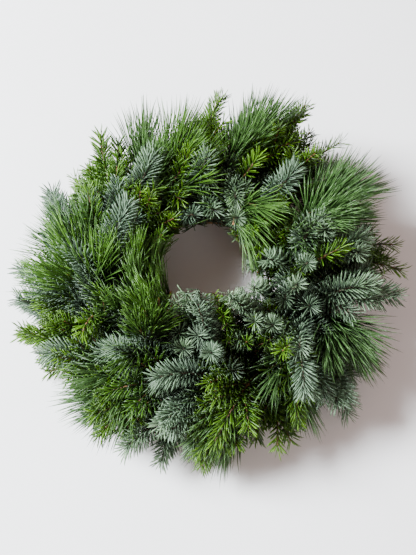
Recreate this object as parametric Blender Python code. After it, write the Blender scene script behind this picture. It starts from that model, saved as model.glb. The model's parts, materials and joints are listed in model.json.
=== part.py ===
"""An evergreen door wreath that lies on its back.

A straw ring carries three rows of sprays, and one long wire is wound round the ring over their
stems. The sprays are noble fir, green fir and pine. Each one starts with a cut stem under the
wire, leans out of the binding, and points clockwise.

The origin is the middle of the ring, on the surface that the wreath lies on. +Z is up, +Y is
twelve o'clock, and clock angles run clockwise seen from above. Lengths are in metres, and
angles are in degrees unless a name says otherwise.
"""

import math
import random
from collections import namedtuple

import bmesh
import bpy
import numpy as np
from mathutils import Vector

MM = 0.001

# Straw ring
RING_OUTER_D = 250 * MM
RING_THICKNESS = 45 * MM
RING_SIDES = 12
RING_FLAT = RING_THICKNESS / 2
RING_CORNER = RING_FLAT / math.cos(math.pi / RING_SIDES)
RING_R = RING_OUTER_D / 2 - RING_FLAT
RING_Z = RING_FLAT
GROOVE_DEPTH = 1.7 * MM
# Shares of one turn where the ring has a column of corners: the groove and its two shoulders.
COLUMNS = (0.0, 0.2, 0.8)

# Binding wire
TURNS = 16
PITCH = 360 / TURNS
FIRST_TURN = -PITCH
WIRE_R = 0.55 * MM
WIRE_SIDES = 3

# Stems
SEAT_GAP = 0.35 * MM
STEM_R = 2.0 * MM
STEM_SEAT = RING_FLAT + SEAT_GAP + STEM_R
STEM_BEFORE_WIRE = 9 * MM
STEM_AFTER_WIRE = 6 * MM
WIRE_FRONT = STEM_SEAT + STEM_R + SEAT_GAP + WIRE_R
WIRE_AT_SIDE = 26 * MM
WIRE_BACK = (RING_FLAT - GROOVE_DEPTH + SEAT_GAP + WIRE_R) / math.cos(math.pi / RING_SIDES)
# One turn of the wire: the angle round the ring's section, and the distance from its middle. It
# runs over the stems in front, comes down at the sides, and lies in the groove behind.
WIRE_TURN = (
    (0, WIRE_FRONT), (30, WIRE_FRONT), (60, WIRE_FRONT), (90, WIRE_FRONT), (120, WIRE_FRONT),
    (150, WIRE_FRONT), (180, WIRE_AT_SIDE), (225, WIRE_BACK), (255, WIRE_BACK), (285, WIRE_BACK),
    (330, WIRE_AT_SIDE),
)

# Twigs: how far one goes on along the ring before it bends away, the spans of its curve, the
# least share with no needles, and how far one may be rolled round itself
FIRST_BEND = 14 * MM
TWIG_SPANS = 5
LEAST_BARE = 0.25
ROLL = 14
# A twig's upper side looks away from the ring, this much up and this much anticlockwise.
FACE_UP = 0.5
FACE_BACK = 0.4

# Room that the foliage leaves: the hole's radius, the wreath's, its height, and gaps to the
# surface below, to other pieces and between a spray's own needles
HOLE_R = 45 * MM
REACH = 209 * MM
CEILING = 134 * MM
FLOOR_GAP = 1.0 * MM
NODE_GAP = 0.4 * MM
OWN_GAP = 0.15 * MM
SEED = 2412

# The angles round the ring's section at which a row's stems lie, on each second turn of the wire:
# 0 points outwards, 90 up and 180 to the hole.
SEATS = {"outer": (0, 30), "crown": (60, 90), "inner": (120, 150)}

# Each row's sprays, one for each turn of the wire from twelve o'clock round clockwise: the letter
# of its kind, the place where it comes out between the others, and the place of its tip. A place
# is a clock angle, then a radius and a height in millimetres.
PLANTING = {
    "outer": (
        ("F", (352, 145, 55), (5, 195, 90)),
        ("P", (12, 145, 60), (17, 160, 90)),
        ("F", (28, 160, 60), (31, 202, 96)),
        ("P", (56, 125, 75), (60, 158, 85)),
        ("F", (72, 150, 45), (79, 200, 52)),
        ("P", (108, 132, 58), (116, 158, 60)),
        ("N", (128, 140, 50), (136, 182, 60)),
        ("F", (146, 130, 55), (150, 170, 45)),
        ("P", (165, 130, 45), (171, 150, 45)),
        ("N", (186, 120, 65), (194, 160, 78)),
        ("P", (211, 135, 40), (220, 160, 40)),
        ("F", (243, 135, 45), (253, 195, 38)),
        ("N", (258, 155, 30), (264, 192, 42)),
        ("P", (276, 122, 65), (283, 140, 80)),
        ("F", (300, 125, 55), (322, 175, 80)),
        ("P", (328, 135, 60), (334, 152, 82)),
    ),
    "crown": (
        ("N", (352, 130, 70), (360, 92, 100)),
        ("N", (14, 115, 75), (24, 74, 102)),
        ("F", (38, 165, 60), (45, 200, 85)),
        ("P", (64, 120, 75), (70, 125, 108)),
        ("N", (74, 125, 70), (78, 118, 116)),
        ("N", (96, 128, 82), (101, 172, 80)),
        ("F", (128, 113, 72), (143, 118, 108)),
        ("F", (160, 115, 88), (178, 158, 62)),
        ("N", (176, 100, 85), (200, 124, 98)),
        ("N", (204, 92, 85), (227, 130, 84)),
        ("F", (214, 125, 72), (217, 172, 54)),
        ("N", (257, 132, 74), (272, 188, 58)),
        ("P", (262, 112, 80), (272, 128, 92)),
        ("N", (285, 126, 55), (297, 180, 70)),
        ("F", (304, 115, 75), (318, 135, 105)),
        ("P", (338, 118, 75), (348, 140, 95)),
    ),
    "inner": (
        ("N", (356, 86, 70), (8, 57, 96)),
        ("N", (22, 74, 62), (34, 56, 98)),
        ("F", (44, 76, 68), (56, 56, 102)),
        ("F", (66, 70, 60), (78, 54, 96)),
        ("N", (84, 84, 72), (94, 60, 112)),
        ("N", (112, 66, 65), (124, 56, 106)),
        ("N", (136, 70, 72), (148, 57, 112)),
        ("F", (158, 66, 66), (168, 54, 104)),
        ("N", (176, 72, 75), (186, 57, 116)),
        ("N", (200, 66, 62), (208, 54, 100)),
        ("P", (214, 76, 72), (226, 62, 104)),
        ("P", (242, 74, 60), (252, 66, 90)),
        ("P", (266, 80, 58), (274, 68, 86)),
        ("F", (290, 70, 58), (304, 54, 92)),
        ("F", (310, 76, 64), (324, 56, 98)),
        ("N", (334, 72, 58), (346, 56, 90)),
    ),
}

# leafy is the length of a twig that carries needles, and core_r the radius of its core there.
# side_starts and side_length place the side shoots, in shares of that length. needles is how many a
# spray gets, and needle and needle_r are their length and radius. spread is the angle between a
# needle and its shoot, at the foot of the foliage and at the tip. flatness is 0 for needles on all
# sides of the shoot, and 1 for needles in two rows. upward bends them up. thin is the core's
# thickness as a share of its width.
Kind = namedtuple(
    "Kind",
    "name colour leafy core_r side_starts side_angle side_length needles needle needle_r "
    "spread flatness upward thin",
)
KINDS = {
    "N": Kind("noble_fir_spray", (0.22, 0.33, 0.28), 68 * MM, 7.5 * MM, (0.1, 0.32), 40, 0.5,
              15, 24 * MM, 1.1 * MM, (66, 30), 0.15, 0.25, 1.0),
    "F": Kind("green_fir_spray", (0.12, 0.26, 0.05), 76 * MM, 6.5 * MM, (0.08, 0.27, 0.46),
              44, 0.5, 15, 23 * MM, 1.1 * MM, (62, 26), 0.7, 0.1, 0.65),
    "P": Kind("pine_spray", (0.13, 0.27, 0.12), 42 * MM, 5.5 * MM, (0.1, 0.35), 36, 0.7,
              21, 74 * MM, 0.8 * MM, (42, 10), 0.0, 0.1, 1.0),
}

# The inner row is smaller, so that the hole stays open.
INNER_NEEDLES = 0.8
INNER_CORE = 0.85

# Cores: how thin a bare stem gets, the share over which the tip tapers, and how blunt it is
BARE_TAPER = 0.85
CORE_TAPER = 0.25
TIP_SHARE = 0.05
TWIG_SIDES = 5

# Side shoots: the lengths that are tried, the radii along one in shares of the core's, the share
# with no needles, and how much it hooks forwards
SIDE_SHARES = (1, 0.8, 0.6)
SIDE_RADII = (0.6, 0.8, 0.35)
SIDE_BARE = 0.2
SIDE_HOOK = 0.3
SIDE_SIDES = 4

# Needles: the fewest on a shoot, how near its end they stand, and the tries that each one gets.
# A try turns a needle further round its shoot and tilts it by more degrees than the one before.
FEWEST_NEEDLES = 2
NEEDLE_END = 0.93
NEEDLE_TRIES = 16
TRIES_TO_HALF_TURN = 8
TILT_STEP = 2
TIP_TILT_STEP = 3
OUT_OF_CORE = 1.3
GOLDEN = 0.6180339887

LIMIT_SAMPLES = 6
WIRE_OWNER = -1
SHARP_FROM = 40
NEEDLE_ROUGHNESS = 0.6


def clear_scene():
    """Removes what the scene starts with."""
    for obj in list(bpy.data.objects):
        bpy.data.objects.remove(obj)


def ring_point(clock, section, distance):
    """A point at a clock angle, at this angle and distance from the middle of the ring's section."""
    c, s = math.radians(clock), math.radians(section)
    radius = RING_R + distance * math.cos(s)
    return Vector((radius * math.sin(c), radius * math.cos(c), RING_Z + distance * math.sin(s)))


def clockwise(clock):
    """The unit direction that the ring runs in at a clock angle."""
    c = math.radians(clock)
    return Vector((math.cos(c), -math.sin(c), 0))


def place(clock, radius, height):
    """The point at a clock angle, and at this radius and height in millimetres."""
    c = math.radians(clock)
    return Vector((radius * math.sin(c), radius * math.cos(c), height)) * MM


def away_from_ring(point):
    """The unit direction from the middle of the ring's section to a point."""
    flat = Vector((point.x, point.y, 0)).normalized() * RING_R
    return (point - Vector((flat.x, flat.y, RING_Z))).normalized()


def wire_clock(turn, section):
    """The clock angle at which a turn of the wire crosses an angle of the ring's section."""
    return FIRST_TURN + PITCH * (turn + section / 360)


def material(name, colour, roughness, metallic=0.0):
    """A Principled material, made once for each name."""
    made = bpy.data.materials.get(name)
    if made is None:
        made = bpy.data.materials.new(name)
        made.use_nodes = True
        shader = made.node_tree.nodes["Principled BSDF"]
        shader.inputs["Base Color"].default_value = (*colour, 1)
        shader.inputs["Roughness"].default_value = roughness
        shader.inputs["Metallic"].default_value = metallic
    return made


def add_object(name, points, faces, finish, collection=None):
    """A mesh object from points and faces, whose normals are made to point out."""
    mesh = bpy.data.meshes.new(name)
    mesh.from_pydata([tuple(p) for p in points], [], faces)
    shape = bmesh.new()
    shape.from_mesh(mesh)
    bmesh.ops.recalc_face_normals(shape, faces=shape.faces)
    shape.to_mesh(mesh)
    shape.free()
    mesh.shade_smooth()
    mesh.set_sharp_from_angle(angle=math.radians(SHARP_FROM))
    mesh.materials.append(finish)
    obj = bpy.data.objects.new(name, mesh)
    (collection or bpy.context.scene.collection).objects.link(obj)
    return obj


def tube(path, radii, sides, above, thin=1):
    """Points and faces of a closed tube along a path, with its upper side turned to above.

    There is a radius for each point of the path. Where it is more than a stem's, the tube is
    flattened to the share thin.
    """
    points, faces = [], []
    for i, here in enumerate(path):
        ahead = (path[min(i + 1, len(path) - 1)] - path[max(i - 1, 0)]).normalized()
        lateral = ahead.cross(above).normalized()
        upward = lateral.cross(ahead) * (thin if radii[i] > STEM_R else 1)
        for k in range(sides):
            turn = 2 * math.pi * (k + 0.5) / sides
            points.append(here + (lateral * math.sin(turn) - upward * math.cos(turn)) * radii[i])
    for i in range(len(path) - 1):
        for k in range(sides):
            a, b = i * sides + k, i * sides + (k + 1) % sides
            faces.append((a, b, b + sides, a + sides))
    faces.append(tuple(range(sides)))
    faces.append(tuple(range(len(points) - sides, len(points))))
    return points, faces


def spike(root, tip, radius):
    """Points and faces of a three-sided needle."""
    ahead = (tip - root).normalized()
    side = ahead.orthogonal().normalized()
    other = ahead.cross(side)
    points = [tip]
    for k in range(3):
        turn = 2 * math.pi * k / 3
        points.append(root + (side * math.cos(turn) + other * math.sin(turn)) * radius)
    return points, [(0, 1, 2), (0, 2, 3), (0, 3, 1), (1, 3, 2)]


def straw_ring():
    """The ring, with twelve flats. Each turn of the wire pinches a groove into it."""
    points, faces = [], []
    columns = TURNS * len(COLUMNS)
    for column in range(columns):
        turn, place = divmod(column, len(COLUMNS))
        pinch = GROOVE_DEPTH / math.cos(math.pi / RING_SIDES) if place == 0 else 0
        for corner in range(RING_SIDES):
            section = (corner + 0.5) * 360 / RING_SIDES
            clock = wire_clock(turn + COLUMNS[place], section)
            points.append(ring_point(clock, section, RING_CORNER - pinch))
    for column in range(columns):
        for corner in range(RING_SIDES):
            # The columns follow the wire, so a column ends where the next turn's begins.
            wrap = len(COLUMNS) if corner == RING_SIDES - 1 else 0
            last, after = (column + wrap) % columns, (column + 1) % columns
            after_last = (after + wrap) % columns
            up = (corner + 1) % RING_SIDES
            faces.append((
                column * RING_SIDES + corner,
                after * RING_SIDES + corner,
                after_last * RING_SIDES + up,
                last * RING_SIDES + up,
            ))
    add_object("straw_ring", points, faces, material("straw", (0.38, 0.24, 0.11), 0.9))


def wire_path():
    """The wire's line, as one closed loop of all its turns."""
    return [
        ring_point(wire_clock(turn, section), section, distance)
        for turn in range(TURNS)
        for section, distance in WIRE_TURN
    ]


def binding_wire(path):
    """One closed wire, wound round the ring."""
    points, faces = [], []
    count = len(path)
    for i, here in enumerate(path):
        ahead = (path[(i + 1) % count] - path[i - 1]).normalized()
        flat = Vector((here.x, here.y, 0)).normalized() * RING_R
        away = here - Vector((flat.x, flat.y, RING_Z))
        away = (away - ahead * away.dot(ahead)).normalized()
        other = ahead.cross(away)
        for k in range(WIRE_SIDES):
            turn = 2 * math.pi * (k + 0.5) / WIRE_SIDES
            points.append(here + (away * math.cos(turn) + other * math.sin(turn)) * WIRE_R)
    for i in range(count):
        for k in range(WIRE_SIDES):
            here, there = i * WIRE_SIDES, (i + 1) % count * WIRE_SIDES
            up = (k + 1) % WIRE_SIDES
            faces.append((here + k, here + up, there + up, there + k))
    add_object("binding_wire", points, faces, material("green wire", (0.05, 0.10, 0.05), 0.4, 0.6))


class Thicket:
    """Everything placed so far, as rods with round ends, so that a new one can keep clear."""

    def __init__(self):
        self.starts, self.ends = np.zeros((0, 3)), np.zeros((0, 3))
        self.radii, self.owners = np.zeros(0), np.zeros(0, int)

    def add(self, start, end, radius, owner):
        """Adds one rod."""
        self.starts = np.vstack([self.starts, np.array(start)])
        self.ends = np.vstack([self.ends, np.array(end)])
        self.radii = np.append(self.radii, radius)
        self.owners = np.append(self.owners, owner)

    def gap(self, start, end, radius, keep):
        """The smallest gap between a rod and the placed ones that keep selects."""
        if not keep.any():
            return math.inf
        p, d1 = np.array(start), np.array(end) - np.array(start)
        q, d2 = self.starts[keep], self.ends[keep] - self.starts[keep]
        r = p - q
        a, e = d1 @ d1, (d2 * d2).sum(1)
        b, c, f = d2 @ d1, r @ d1, (d2 * r).sum(1)
        cross = np.maximum(a * e - b * b, 1e-18)
        s = np.clip((b * f - c * e) / cross, 0, 1)
        t = np.clip((b * s + f) / e, 0, 1)
        s = np.clip((b * t - c) / a, 0, 1)
        apart = np.linalg.norm(r + s[:, None] * d1 - t[:, None] * d2, axis=1)
        return float((apart - self.radii[keep]).min()) - radius

    def gap_to_others(self, start, end, radius, owner):
        """The smallest gap to any rod that isn't this owner's."""
        return self.gap(start, end, radius, self.owners != owner)

    def gap_to_own(self, start, end, radius, owner, skip):
        """The smallest gap to this owner's rods from number skip on."""
        own = np.flatnonzero(self.owners == owner)[skip:]
        keep = np.zeros(len(self.owners), bool)
        keep[own] = True
        return self.gap(start, end, radius, keep)


def bezier(controls, steps):
    """Points along the curve with these control points, without the first one."""
    points = []
    for i in range(1, steps + 1):
        left = list(controls)
        while len(left) > 1:
            left = [a.lerp(b, i / steps) for a, b in zip(left, left[1:])]
        points.append(left[0])
    return points


def bent_twig(clock, seat, base, tip):
    """The line of a spray's twig from its cut stem to its tip, and the direction of its tip."""
    radius = RING_R + STEM_SEAT * math.cos(math.radians(seat))
    before = math.degrees(STEM_BEFORE_WIRE / radius)
    after = math.degrees(STEM_AFTER_WIRE / radius)
    path = [ring_point(clock + turn, seat, STEM_SEAT) for turn in (-before, 0, after)]
    first = path[-1] + (path[-1] - path[-2]).normalized() * FIRST_BEND
    path += bezier((path[-1], first, base, tip), TWIG_SPANS)
    return path, (path[-1] - path[-2]).normalized()


def along(path, share):
    """The point at a share of a path's length, and the path's direction there."""
    lengths = [(b - a).length for a, b in zip(path, path[1:])]
    left = share * sum(lengths)
    for i, length in enumerate(lengths):
        if left <= length or i == len(lengths) - 1:
            ahead = (path[i + 1] - path[i]).normalized()
            return path[i] + ahead * left, ahead
        left -= length


def clear_of_limits(start, end, radius):
    """True where a rod keeps off the ring and the floor, out of the hole and inside the room."""
    for i in range(LIMIT_SAMPLES + 1):
        p = start.lerp(end, i / LIMIT_SAMPLES)
        across = math.hypot(p.x, p.y)
        if math.hypot(across - RING_R, p.z - RING_Z) < RING_CORNER + radius + NODE_GAP:
            return False
        if not FLOOR_GAP + radius < p.z < CEILING - radius:
            return False
        if not HOLE_R + radius < across < REACH - radius:
            return False
    return True


class Shoot:
    """A twig or a side shoot: its line, its radii and the foliage that stands on it."""

    def __init__(self, path, radii, bare, above):
        self.path, self.radii, self.bare = path, radii, bare
        self.above = above
        self.length = sum((b - a).length for a, b in zip(path, path[1:]))

    def leafy(self):
        """The length that carries needles."""
        return self.length * (1 - self.bare)

    def rods(self):
        """The shoot as rods, each as thick as its thicker end."""
        for i in range(len(self.path) - 1):
            yield self.path[i], self.path[i + 1], max(self.radii[i], self.radii[i + 1])

    def needle(self, kind, share, azimuth, tilt, size):
        """The root and the tip of a needle at a share of the foliage."""
        root, ahead = along(self.path, self.bare + (NEEDLE_END - self.bare) * share)
        lateral = ahead.cross(self.above).normalized()
        above = lateral.cross(ahead)
        out = lateral * math.cos(azimuth) + above * math.sin(azimuth) * (1 - kind.flatness)
        out = (out.normalized() + above * kind.upward).normalized()
        course = ahead * math.cos(tilt) + out * math.sin(tilt)
        return root, root + course * size


class Spray:
    """One cut spray: its twig with a slim core, its side shoots and its needles."""

    def __init__(self, number, turn, row, letter, base, tip):
        self.kind, self.number = KINDS[letter], number
        self.name = f"{self.kind.name}_{row}_{turn + 1:02d}"
        self.draw = random.Random(SEED * 1000 + number)
        seat = SEATS[row][turn % 2]
        path, ahead = bent_twig(wire_clock(turn, seat), seat, place(*base), place(*tip))
        facing = away_from_ring(place(*base)) + Vector((0, 0, FACE_UP))
        facing -= clockwise(base[0]) * FACE_BACK
        lateral = ahead.cross(facing).normalized()
        roll = math.radians(self.draw.uniform(-1, 1) * ROLL)
        above = lateral.cross(ahead) * math.cos(roll) + lateral * math.sin(roll)
        self.core_r = self.kind.core_r * (INNER_CORE if row == "inner" else 1)
        whole = sum((b - a).length for a, b in zip(path[2:], path[3:]))
        bare = max(LEAST_BARE, 1 - self.kind.leafy / whole)
        free = len(path) - 2
        radii = [STEM_R] * 2 + [self.twig_radius(i / (free - 1), bare) for i in range(free)]
        self.stem = Shoot(path[:3], radii[:3], 1, above)
        self.shoots = [Shoot(path[2:], radii[2:], bare, above)]
        self.needle_size = self.kind.needle * (INNER_NEEDLES if row == "inner" else 1)
        self.needles = []

    def twig_radius(self, share, bare):
        """The twig's radius: a bare stem, then the slim core of the foliage, then the tip."""
        if share < bare:
            return STEM_R * BARE_TAPER
        return self.core_r * math.sqrt(min(1, (1 - share) / CORE_TAPER) + TIP_SHARE)

    def add_twig(self, thicket):
        """Puts the stem and the twig in the thicket."""
        for part in (self.stem, self.shoots[0]):
            for rod in part.rods():
                thicket.add(*rod, self.number)

    def add_side_shoots(self, thicket):
        """Grows the side shoots left and right in turn, each as long as there is room for."""
        hand = self.draw.choice((-1, 1))
        for start in self.kind.side_starts:
            for share in SIDE_SHARES:
                shoot = self.side_shoot(start, hand, share)
                if self.has_room(shoot, thicket):
                    self.shoots.append(shoot)
                    for rod in shoot.rods():
                        thicket.add(*rod, self.number)
                    break
            hand = -hand
        self.order_needles()

    def side_shoot(self, start, hand, share):
        """A side shoot at a share of the foliage, on one hand, at a share of its full length."""
        twig, angle = self.shoots[0], math.radians(self.kind.side_angle)
        root, ahead = along(twig.path, twig.bare + (1 - twig.bare) * start)
        lateral = ahead.cross(twig.above).normalized() * hand
        course = ahead * math.cos(angle) + lateral * math.sin(angle)
        half = self.kind.side_length * self.kind.leafy * share / 2
        middle = root + course * half
        end = middle + (course + ahead * SIDE_HOOK).normalized() * half
        radii = [self.core_r * r for r in SIDE_RADII]
        return Shoot([root, middle, end], radii, SIDE_BARE, twig.above)

    def has_room(self, shoot, thicket):
        """True where a side shoot is clear of everything, with room for its needles to start."""
        gap = NODE_GAP + self.kind.needle_r
        return all(
            clear_of_limits(*rod) and thicket.gap_to_others(*rod, self.number) > gap
            for rod in shoot.rods()
        )

    def order_needles(self):
        """Shares the needles among the shoots by their leafy lengths, and mixes their order."""
        whole = sum(shoot.leafy() for shoot in self.shoots)
        self.todo = []
        for shoot in self.shoots:
            count = max(FEWEST_NEEDLES, round(self.kind.needles * shoot.leafy() / whole))
            for i in range(count):
                self.todo.append((shoot, i / (count - 1), i * GOLDEN * 2 * math.pi))
        self.todo.sort(key=lambda item: -item[1] if item[1] in (0, 1) else self.draw.random())
        self.rods_before = len(self.stem.path) - 1 + sum(len(s.path) - 1 for s in self.shoots)

    def add_needle(self, thicket):
        """Places the next needle, at the first of its tries that is clear of everything."""
        if not self.todo:
            return
        shoot, share, azimuth = self.todo.pop(0)
        kind = self.kind
        foot, tip = kind.spread
        for attempt in range(NEEDLE_TRIES):
            half_turns = self.draw.uniform(-1, 1) * min(1, attempt / TRIES_TO_HALF_TURN)
            tilt = foot + (tip - foot) * share + self.draw.uniform(-1, 1) * TILT_STEP * attempt
            if share == 1:
                tilt = TIP_TILT_STEP * attempt
            turn, tilt = azimuth + math.pi * half_turns, math.radians(max(0, tilt))
            root, end = shoot.needle(kind, share, turn, tilt, self.needle_size)
            if self.is_clear(root, end, thicket):
                self.needles.append((root, end))
                thicket.add(root, end, kind.needle_r, self.number)
                return

    def is_clear(self, root, end, thicket):
        """True where a needle keeps its gaps to the limits, the others and the spray's own."""
        radius = self.kind.needle_r
        out = root.lerp(end, OUT_OF_CORE * self.kind.core_r / self.needle_size)
        return (
            clear_of_limits(root, end, radius)
            and thicket.gap_to_others(root, end, radius, self.number) >= NODE_GAP
            and thicket.gap_to_own(out, end, radius, self.number, self.rods_before) >= OWN_GAP
        )

    def build(self):
        """The spray's solid: everything on it is joined to its twig by one Boolean union."""
        kind, twig = self.kind, self.shoots[0]
        finish = material(kind.name.replace("_spray", ""), kind.colour, NEEDLE_ROUGHNESS)
        path, radii = self.stem.path[:2] + twig.path, self.stem.radii[:2] + twig.radii
        points, faces = tube(path, radii, TWIG_SIDES, twig.above, kind.thin)
        body = add_object(self.name, points, faces, finish)
        extras = bpy.data.collections.new(self.name)
        bpy.context.scene.collection.children.link(extras)
        for shoot in self.shoots[1:]:
            side = tube(shoot.path, shoot.radii, SIDE_SIDES, shoot.above, kind.thin)
            add_object("side", *side, finish, extras)
        for root, end in self.needles:
            add_object("needle", *spike(root, end, kind.needle_r), finish, extras)
        join_collection(body, extras)


def is_closed(mesh):
    """True where every edge of a mesh has two faces."""
    shape = bmesh.new()
    shape.from_mesh(mesh)
    closed = all(edge.is_manifold for edge in shape.edges)
    shape.free()
    return closed


def join_collection(body, extras):
    """Joins a collection's objects to a body by a Boolean union, and removes them."""
    union = body.modifiers.new("union", "BOOLEAN")
    union.operation = "UNION"
    union.operand_type = "COLLECTION"
    union.collection = extras
    for solver in ("EXACT", "MANIFOLD"):
        union.solver = solver
        bpy.context.view_layer.update()
        joined = body.evaluated_get(bpy.context.evaluated_depsgraph_get())
        mesh = bpy.data.meshes.new_from_object(joined)
        if is_closed(mesh):
            break
    body.modifiers.clear()
    body.data = mesh
    for obj in list(extras.objects):
        bpy.data.objects.remove(obj)
    bpy.data.collections.remove(extras)


def plant_sprays(wire):
    """All the sprays, placed row by row, then grown needle by needle so that each gets its room."""
    thicket = Thicket()
    for a, b in zip(wire, wire[1:] + wire[:1]):
        thicket.add(a, b, WIRE_R, WIRE_OWNER)
    sprays = []
    for row, entries in PLANTING.items():
        for turn, entry in enumerate(entries):
            sprays.append(Spray(len(sprays), turn, row, *entry))
    for spray in sprays:
        spray.add_twig(thicket)
    for spray in sprays:
        spray.add_side_shoots(thicket)
    for _ in range(max(len(spray.todo) for spray in sprays)):
        for spray in sprays:
            spray.add_needle(thicket)
    for spray in sprays:
        spray.build()


def main():
    """Builds the wreath."""
    clear_scene()
    straw_ring()
    wire = wire_path()
    binding_wire(wire)
    plant_sprays(wire)


main()
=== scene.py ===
"""Looks of an evergreen door wreath that lies on its back on a pale table.

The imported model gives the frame: a straw ring, a binding wire and 48 sprays of noble fir, green
fir and pine. Each spray is replaced by a bunch that grows from the same cut stem along the same
twig, with all its needles. The ring and the wire are replaced by bundled straw and round wire.

The origin is the middle of the ring, on the table. +Z is up and +Y is twelve o'clock. Clock
angles run clockwise seen from above. Lengths are in metres. Angles are in degrees, but for those
of the needles, which their tree takes in radians.
"""

from __future__ import annotations

import json
import logging
import math
import random
from collections.abc import Iterator, Sequence
from dataclasses import dataclass, field, fields
from enum import Enum

import bmesh
import bpy
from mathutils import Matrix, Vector

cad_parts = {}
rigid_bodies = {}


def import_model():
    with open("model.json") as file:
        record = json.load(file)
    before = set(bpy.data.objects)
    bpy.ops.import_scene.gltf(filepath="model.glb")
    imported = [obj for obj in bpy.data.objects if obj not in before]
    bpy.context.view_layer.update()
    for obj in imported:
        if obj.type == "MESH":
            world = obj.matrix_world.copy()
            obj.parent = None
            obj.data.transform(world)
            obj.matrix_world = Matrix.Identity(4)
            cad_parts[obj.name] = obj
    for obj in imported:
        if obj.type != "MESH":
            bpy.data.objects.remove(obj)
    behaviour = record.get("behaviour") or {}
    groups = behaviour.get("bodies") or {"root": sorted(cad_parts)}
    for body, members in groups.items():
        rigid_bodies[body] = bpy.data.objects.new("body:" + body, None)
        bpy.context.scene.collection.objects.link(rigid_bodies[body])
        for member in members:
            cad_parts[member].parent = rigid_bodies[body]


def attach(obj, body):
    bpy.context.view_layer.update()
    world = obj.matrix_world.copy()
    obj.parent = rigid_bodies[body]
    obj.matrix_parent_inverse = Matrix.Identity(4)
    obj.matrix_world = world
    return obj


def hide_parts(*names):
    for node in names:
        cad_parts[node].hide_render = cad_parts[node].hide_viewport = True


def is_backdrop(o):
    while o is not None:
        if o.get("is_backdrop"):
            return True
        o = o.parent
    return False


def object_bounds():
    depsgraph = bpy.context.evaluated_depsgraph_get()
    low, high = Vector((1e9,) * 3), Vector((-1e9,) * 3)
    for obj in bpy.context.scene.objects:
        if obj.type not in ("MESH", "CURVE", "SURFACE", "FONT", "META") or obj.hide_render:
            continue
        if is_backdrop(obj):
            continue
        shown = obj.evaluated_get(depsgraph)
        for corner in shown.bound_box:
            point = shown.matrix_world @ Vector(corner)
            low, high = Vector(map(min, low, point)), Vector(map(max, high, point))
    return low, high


for leftover in list(bpy.data.objects):
    bpy.data.objects.remove(leftover)
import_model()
cad_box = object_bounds()

log = logging.getLogger("wreath")

MM = 0.001
DEG = math.pi / 180
GOLDEN = 0.6180339887

Socket = bpy.types.NodeSocket
Colour = tuple[float, float, float]
Feed = Socket | float | tuple


class Species(Enum):
    """The three evergreens, by their letters in the planting plan."""

    NOBLE_FIR = "N"
    GREEN_FIR = "F"
    PINE = "P"


class Row(Enum):
    """The three rows of sprays round the ring."""

    OUTER = "outer"
    CROWN = "crown"
    INNER = "inner"


# Node trees


def socket_name(name: str) -> str:
    """The name of the socket that takes a size or a colour of a dataclass."""
    return name.replace("_", " ").capitalize()


def socket_values(sizes: object, *left_out: str) -> dict:
    """The values of a dataclass, by the names of the sockets that take them.

    Args:
        sizes: The dataclass.
        *left_out: Its fields that aren't for these sockets.

    Returns:
        The values.
    """
    return {socket_name(name): value for name, value in vars(sizes).items() if name not in left_out}


def new_group(name: str, kind: str, inputs: dict, outputs: dict) -> bpy.types.NodeTree:
    """Makes a node group with its sockets.

    Args:
        name: The group's name.
        kind: The type of its tree.
        inputs: The socket type of each input, by its name.
        outputs: The same for each output.

    Returns:
        The group, with no nodes in it.
    """
    group = bpy.data.node_groups.new(name, kind)
    for way, sockets in (("INPUT", inputs), ("OUTPUT", outputs)):
        for socket, socket_kind in sockets.items():
            socket_kind = f"NodeSocket{socket_kind}"
            group.interface.new_socket(socket, in_out=way, socket_type=socket_kind)
    return group


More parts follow.
